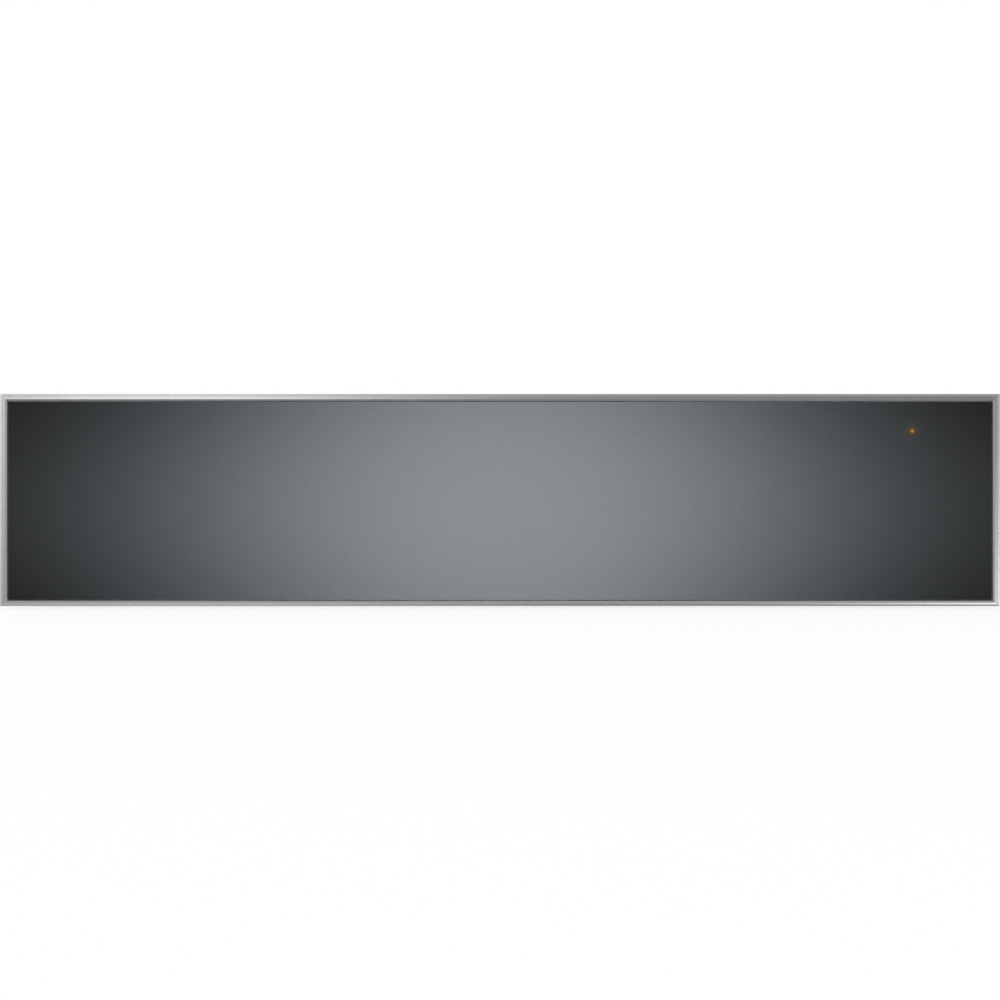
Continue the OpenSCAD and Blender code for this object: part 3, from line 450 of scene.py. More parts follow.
def vector(x, y, z):
    """A vector socket from three values, of which one or more are sockets."""
    socket = [value for value in (x, y, z) if isinstance(value, Shade)][0]
    return socket.node("ShaderNodeCombineXYZ", {}, {0: x, 1: y, 2: z})


def solids(node):
    """The separate solids of a CAD node, each as a list of its corners."""
    shape = joined(node)
    left_over = set(shape.verts)
    found = []
    for first in shape.verts:
        if first not in left_over:
            continue
        left_over.remove(first)
        waiting, solid = [first], []
        while waiting:
            corner = waiting.pop()
            solid.append(corner.co.copy())
            for edge in corner.link_edges:
                other = edge.other_vert(corner)
                if other in left_over:
                    left_over.remove(other)
                    waiting.append(other)
        found.append(solid)
    shape.free()
    return found


def box_of(points):
    """The lowest and highest corner of some points."""
    return [Vector([pick(point[i] for point in points) for i in range(3)]) for pick in (min, max)]


size, screw_out = geometry_tree("screw_tree", [
    "Shank Radius", "Shank Length", "Sink", "Seat Radius", "Head Radius", "Crown Radius",
    "Head Height", "Recess Length", "Recess Width", "Recess Depth"])
screw_body = size["Sink"].node("GeometryNodeMeshCircle", {"fill_type": "NGON"},
                               {"Vertices": 24, "Radius": size["Shank Radius"]})
foot = screw_body.node("GeometryNodeFlipFaces", {}, {0: screw_body})
chosen = {}
radius_now = size["Shank Radius"]
for rise, radius in [
    (size["Shank Length"] - size["Sink"], size["Shank Radius"]),
    (size["Sink"] * 0.0, size["Seat Radius"]),
    (size["Sink"], size["Head Radius"]),
    (size["Head Height"] * 0.45, size["Head Radius"]),
    (size["Head Height"] * 0.35, size["Head Radius"] * 0.4 + size["Crown Radius"] * 0.6),
    (size["Head Height"] * 0.20, size["Crown Radius"]),
]:
    raised = screw_body.node("GeometryNodeExtrudeMesh", {"mode": "FACES"}, {
        "Mesh": screw_body, "Offset": vector(0.0, 0.0, rise), "Individual": False, **chosen})
    chosen = {"Selection": Shade(raised.socket.node.outputs["Top"])}
    ratio = radius / radius_now
    here = raised.node("GeometryNodeInputPosition")
    there = here.node("ShaderNodeVectorMath", {"operation": "MULTIPLY"},
                      {0: here, 1: vector(ratio, ratio, 1.0)})
    screw_body = raised.node("GeometryNodeSetPosition", {},
                             {"Geometry": raised, "Position": there, **chosen})
    radius_now = radius
closed = screw_body.node("GeometryNodeJoinGeometry", {}, {0: screw_body})
closed.tree.links.new(foot.socket, closed.socket.node.inputs[0])
screw_body = closed.node("GeometryNodeMergeByDistance", {}, {"Geometry": closed, "Distance": 1e-6})
top = size["Shank Length"] + size["Head Height"]
for length, width in [("Recess Length", "Recess Width"), ("Recess Width", "Recess Length")]:
    slot_cut = screw_body.node("GeometryNodeMeshCube", {}, {
        "Size": vector(size[length], size[width], size["Recess Depth"] * 2.0)})
    slot_cut = slot_cut.node("GeometryNodeTransform", {}, {
        "Geometry": slot_cut, "Translation": vector(0.0, 0.0, top)})
    screw_body = screw_body.node(
        "GeometryNodeMeshBoolean", {"operation": "DIFFERENCE", "solver": "EXACT"},
        {"Mesh 1": screw_body, "Mesh 2": slot_cut})
screw_tree = placed(size["Geometry"], screw_body, screw_out, screw_steel)

screw_recess = {"Recess Length": 0.0042, "Recess Width": 0.0009, "Recess Depth": 0.0011}
crown_ratio = 0.72
flat_head = 0.00001
for node in ("housing_screws", "drawer_screws"):
    kinds = {}
    for solid in solids(node):
        low, high = box_of(solid)
        middle = (low + high) / 2
        spans = high - low
        axis = max(range(3), key=lambda i: min(abs(spans[i] - spans[j])
                                               for j in range(3) if j != i))
        off = [math.dist([p[i] for i in range(3) if i != axis],
                         [middle[i] for i in range(3) if i != axis]) for p in solid]
        head_radius, shank_radius = max(off), min(off)
        head_ends = [p[axis] for p, r in zip(solid, off) if r > head_radius - 1e-5]
        outwards = 1 if max(head_ends) > high[axis] - 1e-5 else -1
        base = middle.copy()
        base[axis] = low[axis] if outwards > 0 else high[axis]
        along = Vector((0, 0, 0))
        along[axis] = outwards
        key = tuple(round(value, 5) for value in (
            spans[axis], max(head_ends) - min(head_ends), head_radius, shank_radius))
        kinds.setdefault(key, []).append((base, upright(along)))
    for number, (key, places) in enumerate(sorted(kinds.items(), key=lambda kind: kind[0])):
        length, head_height, head_radius, shank_radius = key
        sink = 0.0 if head_height > 0 else head_radius - shank_radius
        head_height = max(head_height, flat_head)
        grown(f"{node}_{number}", screw_tree, {
            "Shank Radius": shank_radius, "Shank Length": length - head_height, "Sink": sink,
            "Seat Radius": shank_radius if sink else head_radius, "Head Radius": head_radius,
            "Crown Radius": head_radius * crown_ratio, "Head Height": head_height,
            **screw_recess}, places, screw_steel, node)


# ---------------------------------------------------------------------------------------------
# Slides: three nested rolled-steel channels on each side, zinc-plated and greased. The balls
# have polished a bright track along the races.
def slide_steel_paint(place):
    drawn = grain(place, 4.0, 5.0, 0.6, (300.0, 1.0, 300.0))
    patches = grain(place, 14.0)
    race = grain(place, 60.0, 1.0, 0.5, (1.0, 0.4, 1.0))
    return {
        "Base Color": patches.ramp(0.3, 0.7).mix((0.50, 0.505, 0.51), (0.66, 0.66, 0.65)),
        "Roughness": drawn * 0.22 + race * 0.10 + 0.14,
        "Normal": bump(drawn, 0.00003),
    }


slide_steel = surface("rolled_slide_steel", metal, slide_steel_paint)
for side in ("left", "right"):
    formed(slide_steel, 0.00022, "slide_outer_" + side, "slide_middle_" + side,
           "slide_inner_" + side)


# ---------------------------------------------------------------------------------------------
# Ball cages: pressed steel strips that hold twelve hardened chrome-steel balls each, and run
# between the channels of the slides.
cage_strip = mottled("cage_strip", metal, (0.50, 0.44, 0.30), (0.66, 0.60, 0.46),
                     (8.0, 4.0, 0.5, (100.0, 2.0, 100.0)), (0.25, 0.45))
chrome_steel = mottled("chrome_steel", metal, (0.72, 0.72, 0.73), (0.80, 0.80, 0.80),
                       (900.0, 2.0), (0.04, 0.14))
size, ball_out = geometry_tree("ball_tree", ["Ball Radius"])
ball = size["Ball Radius"].node("GeometryNodeMeshUVSphere", {}, {
    "Segments": 24, "Rings": 14, "Radius": size["Ball Radius"]})
ball_tree = placed(size["Geometry"], ball, ball_out, chrome_steel)
for row in ("outer_left", "outer_right", "inner_left", "inner_right"):
    cage = "ball_cage_" + row
    found = sorted([box_of(solid) for solid in solids(cage)], key=lambda box: (box[1] - box[0]).y)
    balls = found[:-1]
    ball_radius = (balls[0][1] - balls[0][0]).y / 2
    middles = [(low + high) / 2 for low, high in balls]
    grown(f"balls_{row}", ball_tree, {"Ball Radius": ball_radius},
          [(middle, upright((0, 1, 0))) for middle in middles], chrome_steel, cage)
    shape = joined(cage)
    ball_corners = [corner for corner in shape.verts
                    if any((corner.co - middle).length < ball_radius * 1.02 for middle in middles)]
    bmesh.ops.delete(shape, geom=ball_corners, context="VERTS")
    piece(f"cage_strip_{row}", meshed(f"cage_strip_{row}", shape), cage_strip, cage)


# ---------------------------------------------------------------------------------------------
# Push latches: moulded bodies screwed to the rear panel, with round plungers that the drawer's
# strikers push in. A push lets the drawer spring out.
def plastic(name, colour, roughness):
    """Moulded plastic with an eroded grain."""
    def paint(place):
        texture = grain(place, 1500.0, 2.0, 0.6)
        flow = grain(place, 25.0)
        darker = [part * 0.94 for part in colour]
        lighter = [part * 1.06 for part in colour]
        return {
            "Base Color": (flow * 0.6 + texture * 0.4).mix(darker, lighter),
            "Roughness": texture * 0.16 + (roughness - 0.08),
            "Normal": bump(texture, 0.00002),
        }
    return surface(name, {}, paint)


def shell(shape, rings, looped=False):
    """Adds a closed skin through rings of points: capped, or looped from the last to the first."""
    rows = [[shape.verts.new(point) for point in ring] for ring in rings]
    pairs = list(zip(rows, rows[1:]))
    if looped:
        pairs.append((rows[-1], rows[0]))
    else:
        shape.faces.new(rows[0][::-1])
        shape.faces.new(rows[-1])
    for first, second in pairs:
        for i in range(len(first)):
            j = (i + 1) % len(first)
            shape.faces.new((first[i], first[j], second[j], second[i]))


def skinned(name, *shells, turn=30):
    """A mesh from shells, each a list of rings, or a (rings, True) pair where they loop."""
    shape = bmesh.new()
    for rings in shells:
        if isinstance(rings, tuple):
            shell(shape, *rings)
        else:
            shell(shape, rings)
    bmesh.ops.recalc_face_normals(shape, faces=shape.faces)
    return smoothed(meshed(name, shape), turn)


def skin(name, material, node, *shells, turn=30):
    """A piece made of shells, in place of a CAD node."""
    piece(name, skinned(name, *shells, turn=turn), material, node)


def turned(profile, foot, axis, steps=48):
    """Rings about an axis, from (radius, distance along the axis from its foot) pairs."""
    frame_turn = upright(axis)
    angles = [2 * math.pi * step / steps for step in range(steps)]
    return [[Vector(foot) + frame_turn @ Vector((radius * math.cos(angle),
                                                 radius * math.sin(angle), along))
             for angle in angles] for radius, along in profile]


def rounded_rod(radius, start, end, edge, shoulder=3):
    """A profile for turned(): a rod whose two ends are rounded by edge."""
    bends = [math.radians(90 * step / shoulder) for step in range(shoulder + 1)]
    foot = [(radius - edge + edge * math.sin(bend), start + edge - edge * math.cos(bend))
            for bend in bends]
    tip = [(radius - edge + edge * math.cos(bend), end - edge + edge * math.sin(bend))
           for bend in bends]
    return foot + tip


def grooves(radius, depth, half_mouth, *places):
    """Points of a profile for grooves round a rod, each at its place along it."""
    half_floor = 0.0003
    return [point for place in places for point in (
        (radius, place - half_mouth), (radius - depth, place - half_floor),
        (radius - depth, place + half_floor), (radius, place + half_mouth))]


def rod(box, end=0):
    """The radius, the length and the foot of a rod along Y that fills its box. It stands on its
    front end, or on its back end with an end of 1."""
    low, high = box
    foot = Vector(((low.x + high.x) / 2, box[end].y, (low.z + high.z) / 2))
    return (high.x - low.x) / 2, high.y - low.y, foot


latch_grey = plastic("grey_moulding", (0.55, 0.56, 0.57), 0.42)
plunger_dark = plastic("dark_moulding", (0.10, 0.10, 0.105), 0.38)
tip = 0.0025
collar = 0.002
for side in ("left", "right"):
    formed(latch_grey, 0.0006, "latch_body_" + side)
    head, long, foot = rod(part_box("latch_plunger_" + side))
    stem = head - collar
    skin("plunger_" + side, plunger_dark, "latch_plunger_" + side, turned(
        [(head - 0.0009, 0.0), (head - 0.0003, 0.0003), (head, 0.0009), (head, tip - 0.0003),
         (head - 0.0003, tip), (stem, tip), *grooves(stem, 0.0005, 0.0008, 0.010, 0.014, 0.018),
         (stem, long - 0.0006), (stem - 0.0006, long)], foot, (0, 1, 0)))


# ---------------------------------------------------------------------------------------------
# Mains inlet: a moulded three-pin socket in the rear panel, with nickel-plated pins, which a
# loose lead plugs into.
formed(plastic("black_moulding", (0.018, 0.018, 0.019), 0.35), 0.0005, "mains_inlet")
pin_metal = mottled("nickel_plated_pin", metal, (0.66, 0.64, 0.60), (0.80, 0.79, 0.76),
                    (700.0, 2.0, 0.5, (4.0, 1.0, 4.0)), (0.12, 0.28))
formed(pin_metal, 0.0004, "inlet_pins")


# ---------------------------------------------------------------------------------------------
# Power board: green glass-fibre board on snap-in posts in front of the rear panel. It carries a
# transformer, a relay, a terminal block, a capacitor and a wound choke.
def board_paint(place):
    x, _, z = place.parts()
    lanes = place.node(
        "ShaderNodeTexBrick", {"offset": 0.37, "squash": 2.2, "squash_frequency": 3},
        {"Vector": vector(x, z, 0.0), "Scale": 90.0, "Mortar Size": 0.035, "Mortar Smooth": 0.2,
         "Color1": (0, 0, 0, 1), "Color2": (0, 0, 0, 1), "Mortar": (1, 1, 1, 1)})
    track = lanes.parts()[0]
    pads = place.node("ShaderNodeTexVoronoi", {}, {"Vector": place, "Scale": 260.0,
                                                   "Randomness": 0.25}, "Distance")
    pad = pads.ramp(0.14, 0.20, 1.0, 0.0) * grain(place, 60.0, 1.0).ramp(0.52, 0.56)
    weave = grain(place, 900.0, 2.0, 0.5, (1.0, 1.0, 3.0))
    mask = track.ramp(0.3, 0.7).mix((0.010, 0.085, 0.030), (0.022, 0.170, 0.060))
    return {
        "Base Color": pad.mix(mask, (0.66, 0.62, 0.52)),
        "Metallic": pad * 0.9,
        "Roughness": weave * 0.2 + 0.2,
        "Normal": bump(track * 0.7 + pad * 0.3, 0.00004),
    }


circuit_board = surface("circuit_board", {"Coat Weight": 0.4, "Coat Roughness": 0.1}, board_paint)
formed(circuit_board, 0.00015, "power_board")
board_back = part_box("power_board")[1].y
board_boxes = sorted([box_of(solid) for solid in solids("board_parts")],
                     key=lambda box: -math.prod(box[1] - box[0]))
transformer, choke, relay, terminal, capacitor = board_boxes[:5]


def outline(low, high, radius, steps):
    """Corners of a rectangle with round corners, counter-clockwise."""
    points = []
    centres = ((high[0] - radius, high[1] - radius), (low[0] + radius, high[1] - radius),
               (low[0] + radius, low[1] + radius), (high[0] - radius, low[1] + radius))
    for quarter, (x, y) in enumerate(centres):
        for step in range(steps + 1):
            angle = math.radians(90 * (quarter + step / steps))
            points.append((x + radius * math.cos(angle), y + radius * math.sin(angle)))
    return points


def block_rings(low, high, edge):
    """Rings, along Y, of a block whose edges along Y are rounded and whose front is chamfered."""
    return [[Vector((x, y, z)) for x, z in outline((low.x + inset, low.z + inset),
                                                   (high.x - inset, high.z - inset), edge, 3)]
            for inset, y in ((edge * 0.5, low.y), (0.0, low.y + edge * 0.5), (0.0, high.y))]


def laminated_paint(place):
    x, _, _ = place.parts()
    plates = x.math("SINE", x * 2000.0 * math.pi)
    edge = grain(place, 700.0)
    return {
        "Base Color": edge.mix((0.13, 0.13, 0.14), (0.30, 0.30, 0.31)),
        "Metallic": edge.ramp(0.2, 0.3, 0.5, 0.9),
        "Roughness": edge * 0.2 + 0.35,
        "Normal": bump(plates, 0.00012),
    }


laminations = surface("core_laminations", {}, laminated_paint)
bobbin_tape = plastic("bobbin_tape", (0.62, 0.45, 0.10), 0.35)
relay_blue = plastic("relay_case", (0.05, 0.12, 0.32), 0.30)
block_green = plastic("terminal_moulding", (0.10, 0.28, 0.16), 0.40)
can_sleeve = plastic("capacitor_sleeve", (0.03, 0.03, 0.05), 0.28)
post_white = plastic("white_moulding", (0.78, 0.78, 0.76), 0.40)
choke_core = plastic("ferrite_core", (0.09, 0.10, 0.09), 0.5)
enamelled_copper = mottled("enamelled_copper", metal, (0.60, 0.22, 0.09), (0.80, 0.36, 0.17),
                           (500.0,), (0.20, 0.35))

low, high = transformer
yoke_in = Vector((0.0, 0.006, 0.0))
winding_in = Vector((0.008, 0.0, 0.006))
skin("transformer_core", laminations, "board_parts",
     block_rings(low + yoke_in, high - yoke_in, 0.0004))
skin("transformer_winding", bobbin_tape, "board_parts",
     block_rings(low + winding_in, high - winding_in, 0.002))
skin("relay", relay_blue, "board_parts", block_rings(*relay, 0.0007))
skin("terminal_block", block_green, "board_parts", block_rings(*terminal, 0.0004))

can, long, foot = rod(capacitor, 1)
skin("capacitor", can_sleeve, "board_parts", turned(
    [(can - 0.0004, 0.0), (can, 0.0004), *grooves(can, 0.0005, 0.0009, 0.0029),
     (can, long - 0.0008), (can - 0.0008, long), (can - 0.0016, long - 0.0001)],
    foot, (0, -1, 0)))

low, high = choke
choke_middle = (low + high) / 2
wire_radius = 0.0007
core_out = (high.x - low.x) / 2 - 2 * wire_radius
core_in = core_out * 0.45
core_half = (high.y - low.y) / 2 - 2 * wire_radius
core_edge = 0.001
half_profile = [(core_in, core_half - core_edge), (core_in + core_edge, core_half),
                (core_out - core_edge, core_half), (core_out, core_half - core_edge)]
core_profile = [(radius, -along) for radius, along in half_profile] + half_profile[::-1]
skin("choke_core", choke_core, "board_parts", (turned(core_profile, choke_middle, (0, 1, 0)), True))


def tube(points, radius, sides=12):
    """Rings of a round tube along a path."""
    rings = []
    lift = None
    angles = [2 * math.pi * side / sides for side in range(sides)]
    for i, point in enumerate(points):
        ahead_of = points[min(i + 1, len(points) - 1)]
        behind = points[max(i - 1, 0)]
        run = (Vector(ahead_of) - Vector(behind)).normalized()
        if lift is None:
            lift = run.orthogonal().normalized()
        lift = (lift - run * lift.dot(run)).normalized()
        sideways = run.cross(lift)
        rings.append([Vector(point) + radius * (lift * math.cos(angle) + sideways * math.sin(angle))
                      for angle in angles])
    return rings


choke_turns = 22
turn_steps = 16
wound_part = 0.93
squareness = 0.6
middle_radius = (core_out + core_in) / 2
half_width = (core_out - core_in) / 2 + wire_radius
choke_points = []
for step in range(choke_turns * turn_steps):
    round_core = 2 * math.pi * wound_part * step / (choke_turns * turn_steps)
    wrap = 2 * math.pi * step / turn_steps
    square = max(abs(math.cos(wrap)), abs(math.sin(wrap))) ** squareness
    reach = middle_radius + half_width * math.cos(wrap) / square
    choke_points.append(choke_middle + Vector((
        reach * math.cos(round_core), (core_half + wire_radius) * math.sin(wrap) / square,
        reach * math.sin(round_core))))
skin("choke_winding", enamelled_copper, "board_parts", tube(choke_points, wire_radius, 8))

posts = []
neck = 0.0019
for box in board_boxes[5:]:
    radius, long, foot = rod(box, 1)
    seat = foot.y - board_back
    posts.append(turned([(radius, 0.0), (radius, seat), (neck, seat), (neck, long - 0.0006),
                         (neck - 0.0007, long)], foot, (0, -1, 0), 24))
skin("board_posts", post_white, "board_parts", *posts)


# ---------------------------------------------------------------------------------------------
# Leads: three insulated wires from the inlet to the terminal block, and the flat lead that runs
# from the board to the arm and on to the drawer's controls.
def bent(points, radius, steps=6):
    """A path with each of its corners drawn round, as far as its runs are long enough."""
    points = [Vector(point) for point in points]
    path = [points[0]]
    for before, corner, after in zip(points, points[1:], points[2:]):
        room_left = min(radius, (before - corner).length * 0.49, (after - corner).length * 0.49)
        start = corner + (before - corner).normalized() * room_left
        end = corner + (after - corner).normalized() * room_left
        for step in range(steps + 1):
            part = step / steps
            path.append(start * (1 - part) ** 2 + corner * 2 * part * (1 - part) + end * part ** 2)
    path.append(points[-1])
    return path


def sheath(name, colour):
    """Soft plastic sheath, with a slight sheen and a faint pull along it."""
    return mottled(name, {}, [part * 0.82 for part in colour], colour, (60.0,), (0.32, 0.50),
                   (700.0, 2.0), 0.00002)


# A round wire has more corners than this, and the flat lead has fewer.
flat_most = 100
lead_solids = solids("housing_leads")
wires = sorted([box_of(solid) for solid in lead_solids if len(solid) > flat_most],
               key=lambda box: box[0].x)
wire_colours = [("brown", (0.16, 0.07, 0.03)), ("green", (0.16, 0.34, 0.06)),
                ("blue", (0.03, 0.12, 0.40))]
pins_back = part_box("inlet_pins")[0].y
sheath_radius = 0.0014
bead = sheath_radius * 1.2
for (low, high), (hue, colour) in zip(wires, wire_colours):
    z = (low.z + high.z) / 2
    route = [(low.x + bead, pins_back, z), (low.x + bead, low.y + bead, z),
             (high.x - bead, low.y + bead, z), (high.x - bead, high.y, z)]
    skin("wire_" + hue, sheath("sheath_" + hue, colour), "housing_leads",
         tube(bent(route, 0.004), sheath_radius))

lead_grey = sheath("sheath_dark_grey", (0.055, 0.055, 0.058))
shape = joined("housing_leads")
flat_corners = {tuple(point) for solid in lead_solids if len(solid) < flat_most
                for point in solid}
others = [corner for corner in shape.verts if tuple(corner.co) not in flat_corners]
bmesh.ops.delete(shape, geom=others, context="VERTS")
mesh = meshed("housing_leads", shape)
mesh.shade_smooth()
rounded_edges(piece("flat_lead", mesh, lead_grey, "housing_leads"), 0.0006)
formed(lead_grey, 0.0008, "arm_lead_rear", "arm_lead_front")

low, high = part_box("drawer_lead")
lead_radius = 0.002
bead = lead_radius * 1.2
floor_z = low.z + 0.003
lead_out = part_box("control_box")[1].x - 0.005
route = [(low.x + bead, high.y - bead, low.z), (low.x + bead, high.y - bead, floor_z),
         (high.x - bead, high.y - bead, floor_z), (high.x - bead, low.y + bead, floor_z),
         (high.x - bead, low.y + bead, high.z - bead), (lead_out, low.y + bead, high.z - bead)]
skin("drawer_lead_round", lead_grey, "drawer_lead", tube(bent(route, 0.006), lead_radius))


# ---------------------------------------------------------------------------------------------
# Cable arm: two flat glass-filled nylon links with a steel elbow pin. It folds out under the
# drawer and keeps the lead clear, on a folded bracket and a turned spigot.
formed(plastic("pale_nylon", (0.72, 0.71, 0.67), 0.45), 0.0005, "arm_link_rear", "arm_link_front")
formed(pin_metal, 0.0003, "arm_elbow_pin", "arm_spigot")
formed(zinc, sheet_edge, "arm_bracket")


# ---------------------------------------------------------------------------------------------
# Drawer: chassis and back folded from zinc-plated sheet. The strikers that push the latches are
# spot-welded plates of blackened steel.
formed(zinc, sheet_edge, "drawer_chassis", "drawer_back")
blackened_steel = mottled("blackened_steel", {"Metallic": 0.8}, (0.075, 0.075, 0.08),
                          (0.17, 0.17, 0.175), (220.0,), (0.32, 0.52), (1500.0, 2.0), 0.00002,
                          (0.35, 0.75))
formed(blackened_steel, 0.0003, "latch_strikers")


# ---------------------------------------------------------------------------------------------
# Tray: deep-drawn stainless steel, brushed along its length. Its wide rim lies on the chassis
# and rolls down into the well, and its rear wall has the fan's air hole and the return slots.
def brushed_paint(place):
    hairs = grain(place, 18.0, 6.0, 0.65, (1.0, 130.0, 130.0))
    strokes = grain(place, 9.0, 3.0, 0.5, (1.0, 24.0, 24.0))
    cloud = grain(place, 5.0)
    tone = hairs * 0.5 + strokes * 0.3 + cloud * 0.2
    return {
        "Base Color": tone.ramp(0.3, 0.7).mix((0.50, 0.49, 0.475), (0.66, 0.65, 0.635)),
        "Roughness": hairs * 0.20 + strokes * 0.10 + 0.16,
        "Normal": bump(hairs * 0.7 + strokes * 0.3, 0.00004),
    }


stainless = surface("brushed_stainless", metal, brushed_paint)
tub_low, tub_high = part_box("drawer_tub")
well_low, well_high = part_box("glass_seal")
wall_t = well_low.z - tub_low.z
rim_bend = 0.0025
well_corner = 0.012
foot_bend = 0.0010
rim_corner = 0.001


def level_ring(low, high, inset, corner, z, steps=8):
    """A level ring round a box, at an inset from its sides."""
    return [Vector((x, y, z)) for x, y in outline(
        (low.x + inset, low.y + inset), (high.x - inset, high.y - inset), corner, steps)]


def well_ring(grow, z):
    """A level ring round the well, grown outwards."""
    return level_ring(well_low, well_high, -grow, well_corner + grow, z)


def rim_ring(inset, z):
    """A level ring round the rim's outer edge."""
    return level_ring(tub_low, tub_high, inset, rim_corner, z)


bends = [(1 - math.sin(math.radians(90 * step / 5)), 1 - math.cos(math.radians(90 * step / 5)))
         for step in range(6)]
inside = [well_ring(-foot_bend * out, well_low.z + foot_bend * rise) for out, rise in bends]
inside += [well_ring(rim_bend * out, tub_high.z - rim_bend * drop) for drop, out in bends]
inside += [rim_ring(0.0002, tub_high.z), rim_ring(0.0, tub_high.z - 0.0002)]
under_bend = rim_bend - wall_t
under_foot = foot_bend + wall_t
outside = [rim_ring(0.0, tub_high.z - wall_t + 0.0001), rim_ring(0.0001, tub_high.z - wall_t)]
outside += [well_ring(wall_t + under_bend * out, tub_high.z - wall_t - under_bend * drop)
            for drop, out in reversed(bends)]
outside += [well_ring(wall_t - under_foot * out, tub_low.z + under_foot * rise)
            for out, rise in reversed(bends)]
tray_mesh = skinned("warming_tray", inside + outside)

cut_reach = 0.004


def drill(radius, middle, axis, steps=48):
    """A round cutter through a sheet."""
    return turned([(radius, -cut_reach), (radius, cut_reach)], middle, axis, steps)


def cut(name, mesh, *shells):
    """The mesh with closed shells taken out of it."""
    cutter = linked(name + "_cutter", skinned(name + "_cutter", *shells))
    whole = linked(name + "_whole", mesh)
    taking = whole.modifiers.new("cut", "BOOLEAN")
    taking.operation = "DIFFERENCE"
    taking.solver = "EXACT"
    taking.object = cutter
    result = applied(whole)
    bpy.data.objects.remove(cutter)
    result.name = name
    return smoothed(result, 30)


fan_height = 0.070
fan_axis = Vector((0, well_high.y, fan_height))
grille_low, grille_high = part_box("fan_grille")
grille_lap = 0.005
knob_low, knob_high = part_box("temperature_knob")
knob_middle = (knob_low + knob_high) / 2
spindle_hole = 0.004
slots_a_side = 8
slot_pitch = 0.014
slot_width = 0.005
slot_height = 0.036
slot_corner = 0.0022
first_slot = 0.040
cutters = [drill((grille_high.x - grille_low.x) / 2 - grille_lap, fan_axis, (0, 1, 0), 96),
           drill(spindle_hole, (knob_middle.x, knob_middle.y, tub_high.z), (0, 0, 1))]
for side in (-1, 1):
    for number in range(slots_a_side):
        middle = side * (well_high.x - first_slot - slot_pitch * number + slot_width / 2)
        cutters.append([[Vector((x, y, z)) for x, z in outline(
            (middle - slot_width / 2, fan_axis.z - slot_height / 2),
            (middle + slot_width / 2, fan_axis.z + slot_height / 2), slot_corner, 5)]
            for y in (well_high.y - cut_reach, well_high.y + cut_reach)])
piece("warming_tray", cut("warming_tray", tray_mesh, *cutters), stainless, "drawer_tub")


# ---------------------------------------------------------------------------------------------
# Tray bottom: a toughened glass plate, printed dark underneath, in a silicone seal. The heater
# mat and the insulation lie under the tray.
def base_glass_paint(place):
    print_dots = place.node("ShaderNodeTexVoronoi", {}, {"Vector": place, "Scale": 500.0,
                                                         "Randomness": 0.0}, "Distance")
    return {
        "Base Color": print_dots.ramp(0.25, 0.4).mix((0.030, 0.031, 0.033),
                                                     (0.016, 0.017, 0.018)),
        "Roughness": grain(place, 7.0) * 0.10 + 0.05,
    }


base_glass = surface("printed_base_glass", {"Coat Weight": 1.0, "Coat Roughness": 0.03},
                     base_glass_paint)
low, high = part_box("glass_base")
arris = 0.0005
skin("tray_glass", base_glass, "glass_base", [
    level_ring(low, high, inset, well_corner - inset, z) for inset, z in (
        (arris, low.z), (0.0, low.z + arris), (0.0, high.z - arris),
        (arris * 0.3, high.z - arris * 0.3), (arris, high.z))])

silicone = mottled("silicone", {}, (0.085, 0.085, 0.085), (0.12, 0.12, 0.12), (300.0,),
                   (0.5, 0.7), depth=0.00003)
glass_in = low.x - well_low.x
seal_lip = 0.005
lip_in = glass_in + seal_lip
seal_round = 0.0008
skin("tray_seal", silicone, "glass_seal", ([
    level_ring(well_low, well_high, inset, well_corner, z) for inset, z in (
        (0.0, well_low.z + seal_round), (0.0, well_high.z - seal_round),
        (seal_round, well_high.z), (glass_in - seal_round, well_high.z),
        (glass_in, well_high.z - seal_round), (glass_in, low.z), (lip_in, low.z),
        (lip_in, well_low.z), (seal_round, well_low.z))], True))


def heater_paint(place):
    x, y, _ = place.parts()
    track_pitch = 0.012
    track = x.math("SINE", y * (2 * math.pi / track_pitch)).ramp(0.55, 0.9)
    texture = grain(place, 900.0, 2.0)
    return {
        "Base Color": track.mix((0.42, 0.11, 0.035), (0.52, 0.16, 0.06)),
        "Roughness": texture * 0.15 + 0.48,
        "Normal": bump(track * 0.8 + texture * 0.2, 0.0003),
    }


def wool_paint(place):
    fibres = grain(place, 260.0, 6.0, 0.7, (1.0, 5.0, 5.0))
    clumps = grain(place, 60.0)
    return {
        "Base Color": fibres.mix((0.55, 0.47, 0.27), (0.78, 0.71, 0.48)),
        "Roughness": clumps * 0.1 + 0.85,
        "Normal": bump(fibres * 0.6 + clumps * 0.4, 0.0010),
    }


formed(surface("heater_rubber", {}, heater_paint), 0.0005, "heater_mat")
formed(surface("mineral_wool", {"Sheen Weight": 0.3}, wool_paint), 0.0015, "insulation_mat")


# ---------------------------------------------------------------------------------------------
# Fan: a shaded motor on the chassis back turns a pressed impeller behind the tray's grille, and
# blows the warm air back in through the slots.
formed(stainless, 0.00015, "fan_grille")

motor_grey = mottled("motor_paint", {}, (0.16, 0.165, 0.17), (0.24, 0.245, 0.25), (80.0,),
                     (0.42, 0.57), (1200.0, 2.0), 0.00003)
can, long, foot = rod(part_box("fan_motor"))
motor_bore = 0.0024
boss = 0.0064
motor_profile = [
    (motor_bore, 0.0), (boss - 0.0006, 0.0), (boss, 0.0006), (boss, 0.002),
    (can - 0.0030, 0.0022), (can - 0.0008, 0.0030), (can, 0.0044),
    *grooves(can, 0.0009, 0.0006, 0.009, 0.012, 0.015, 0.018),
    (can, long - 0.0012), (can - 0.0012, long), (motor_bore, long)]
skin("fan_motor_can", motor_grey, "fan_motor", (turned(
    motor_profile, (fan_axis.x, foot.y, fan_axis.z), (0, 1, 0), 64), True))

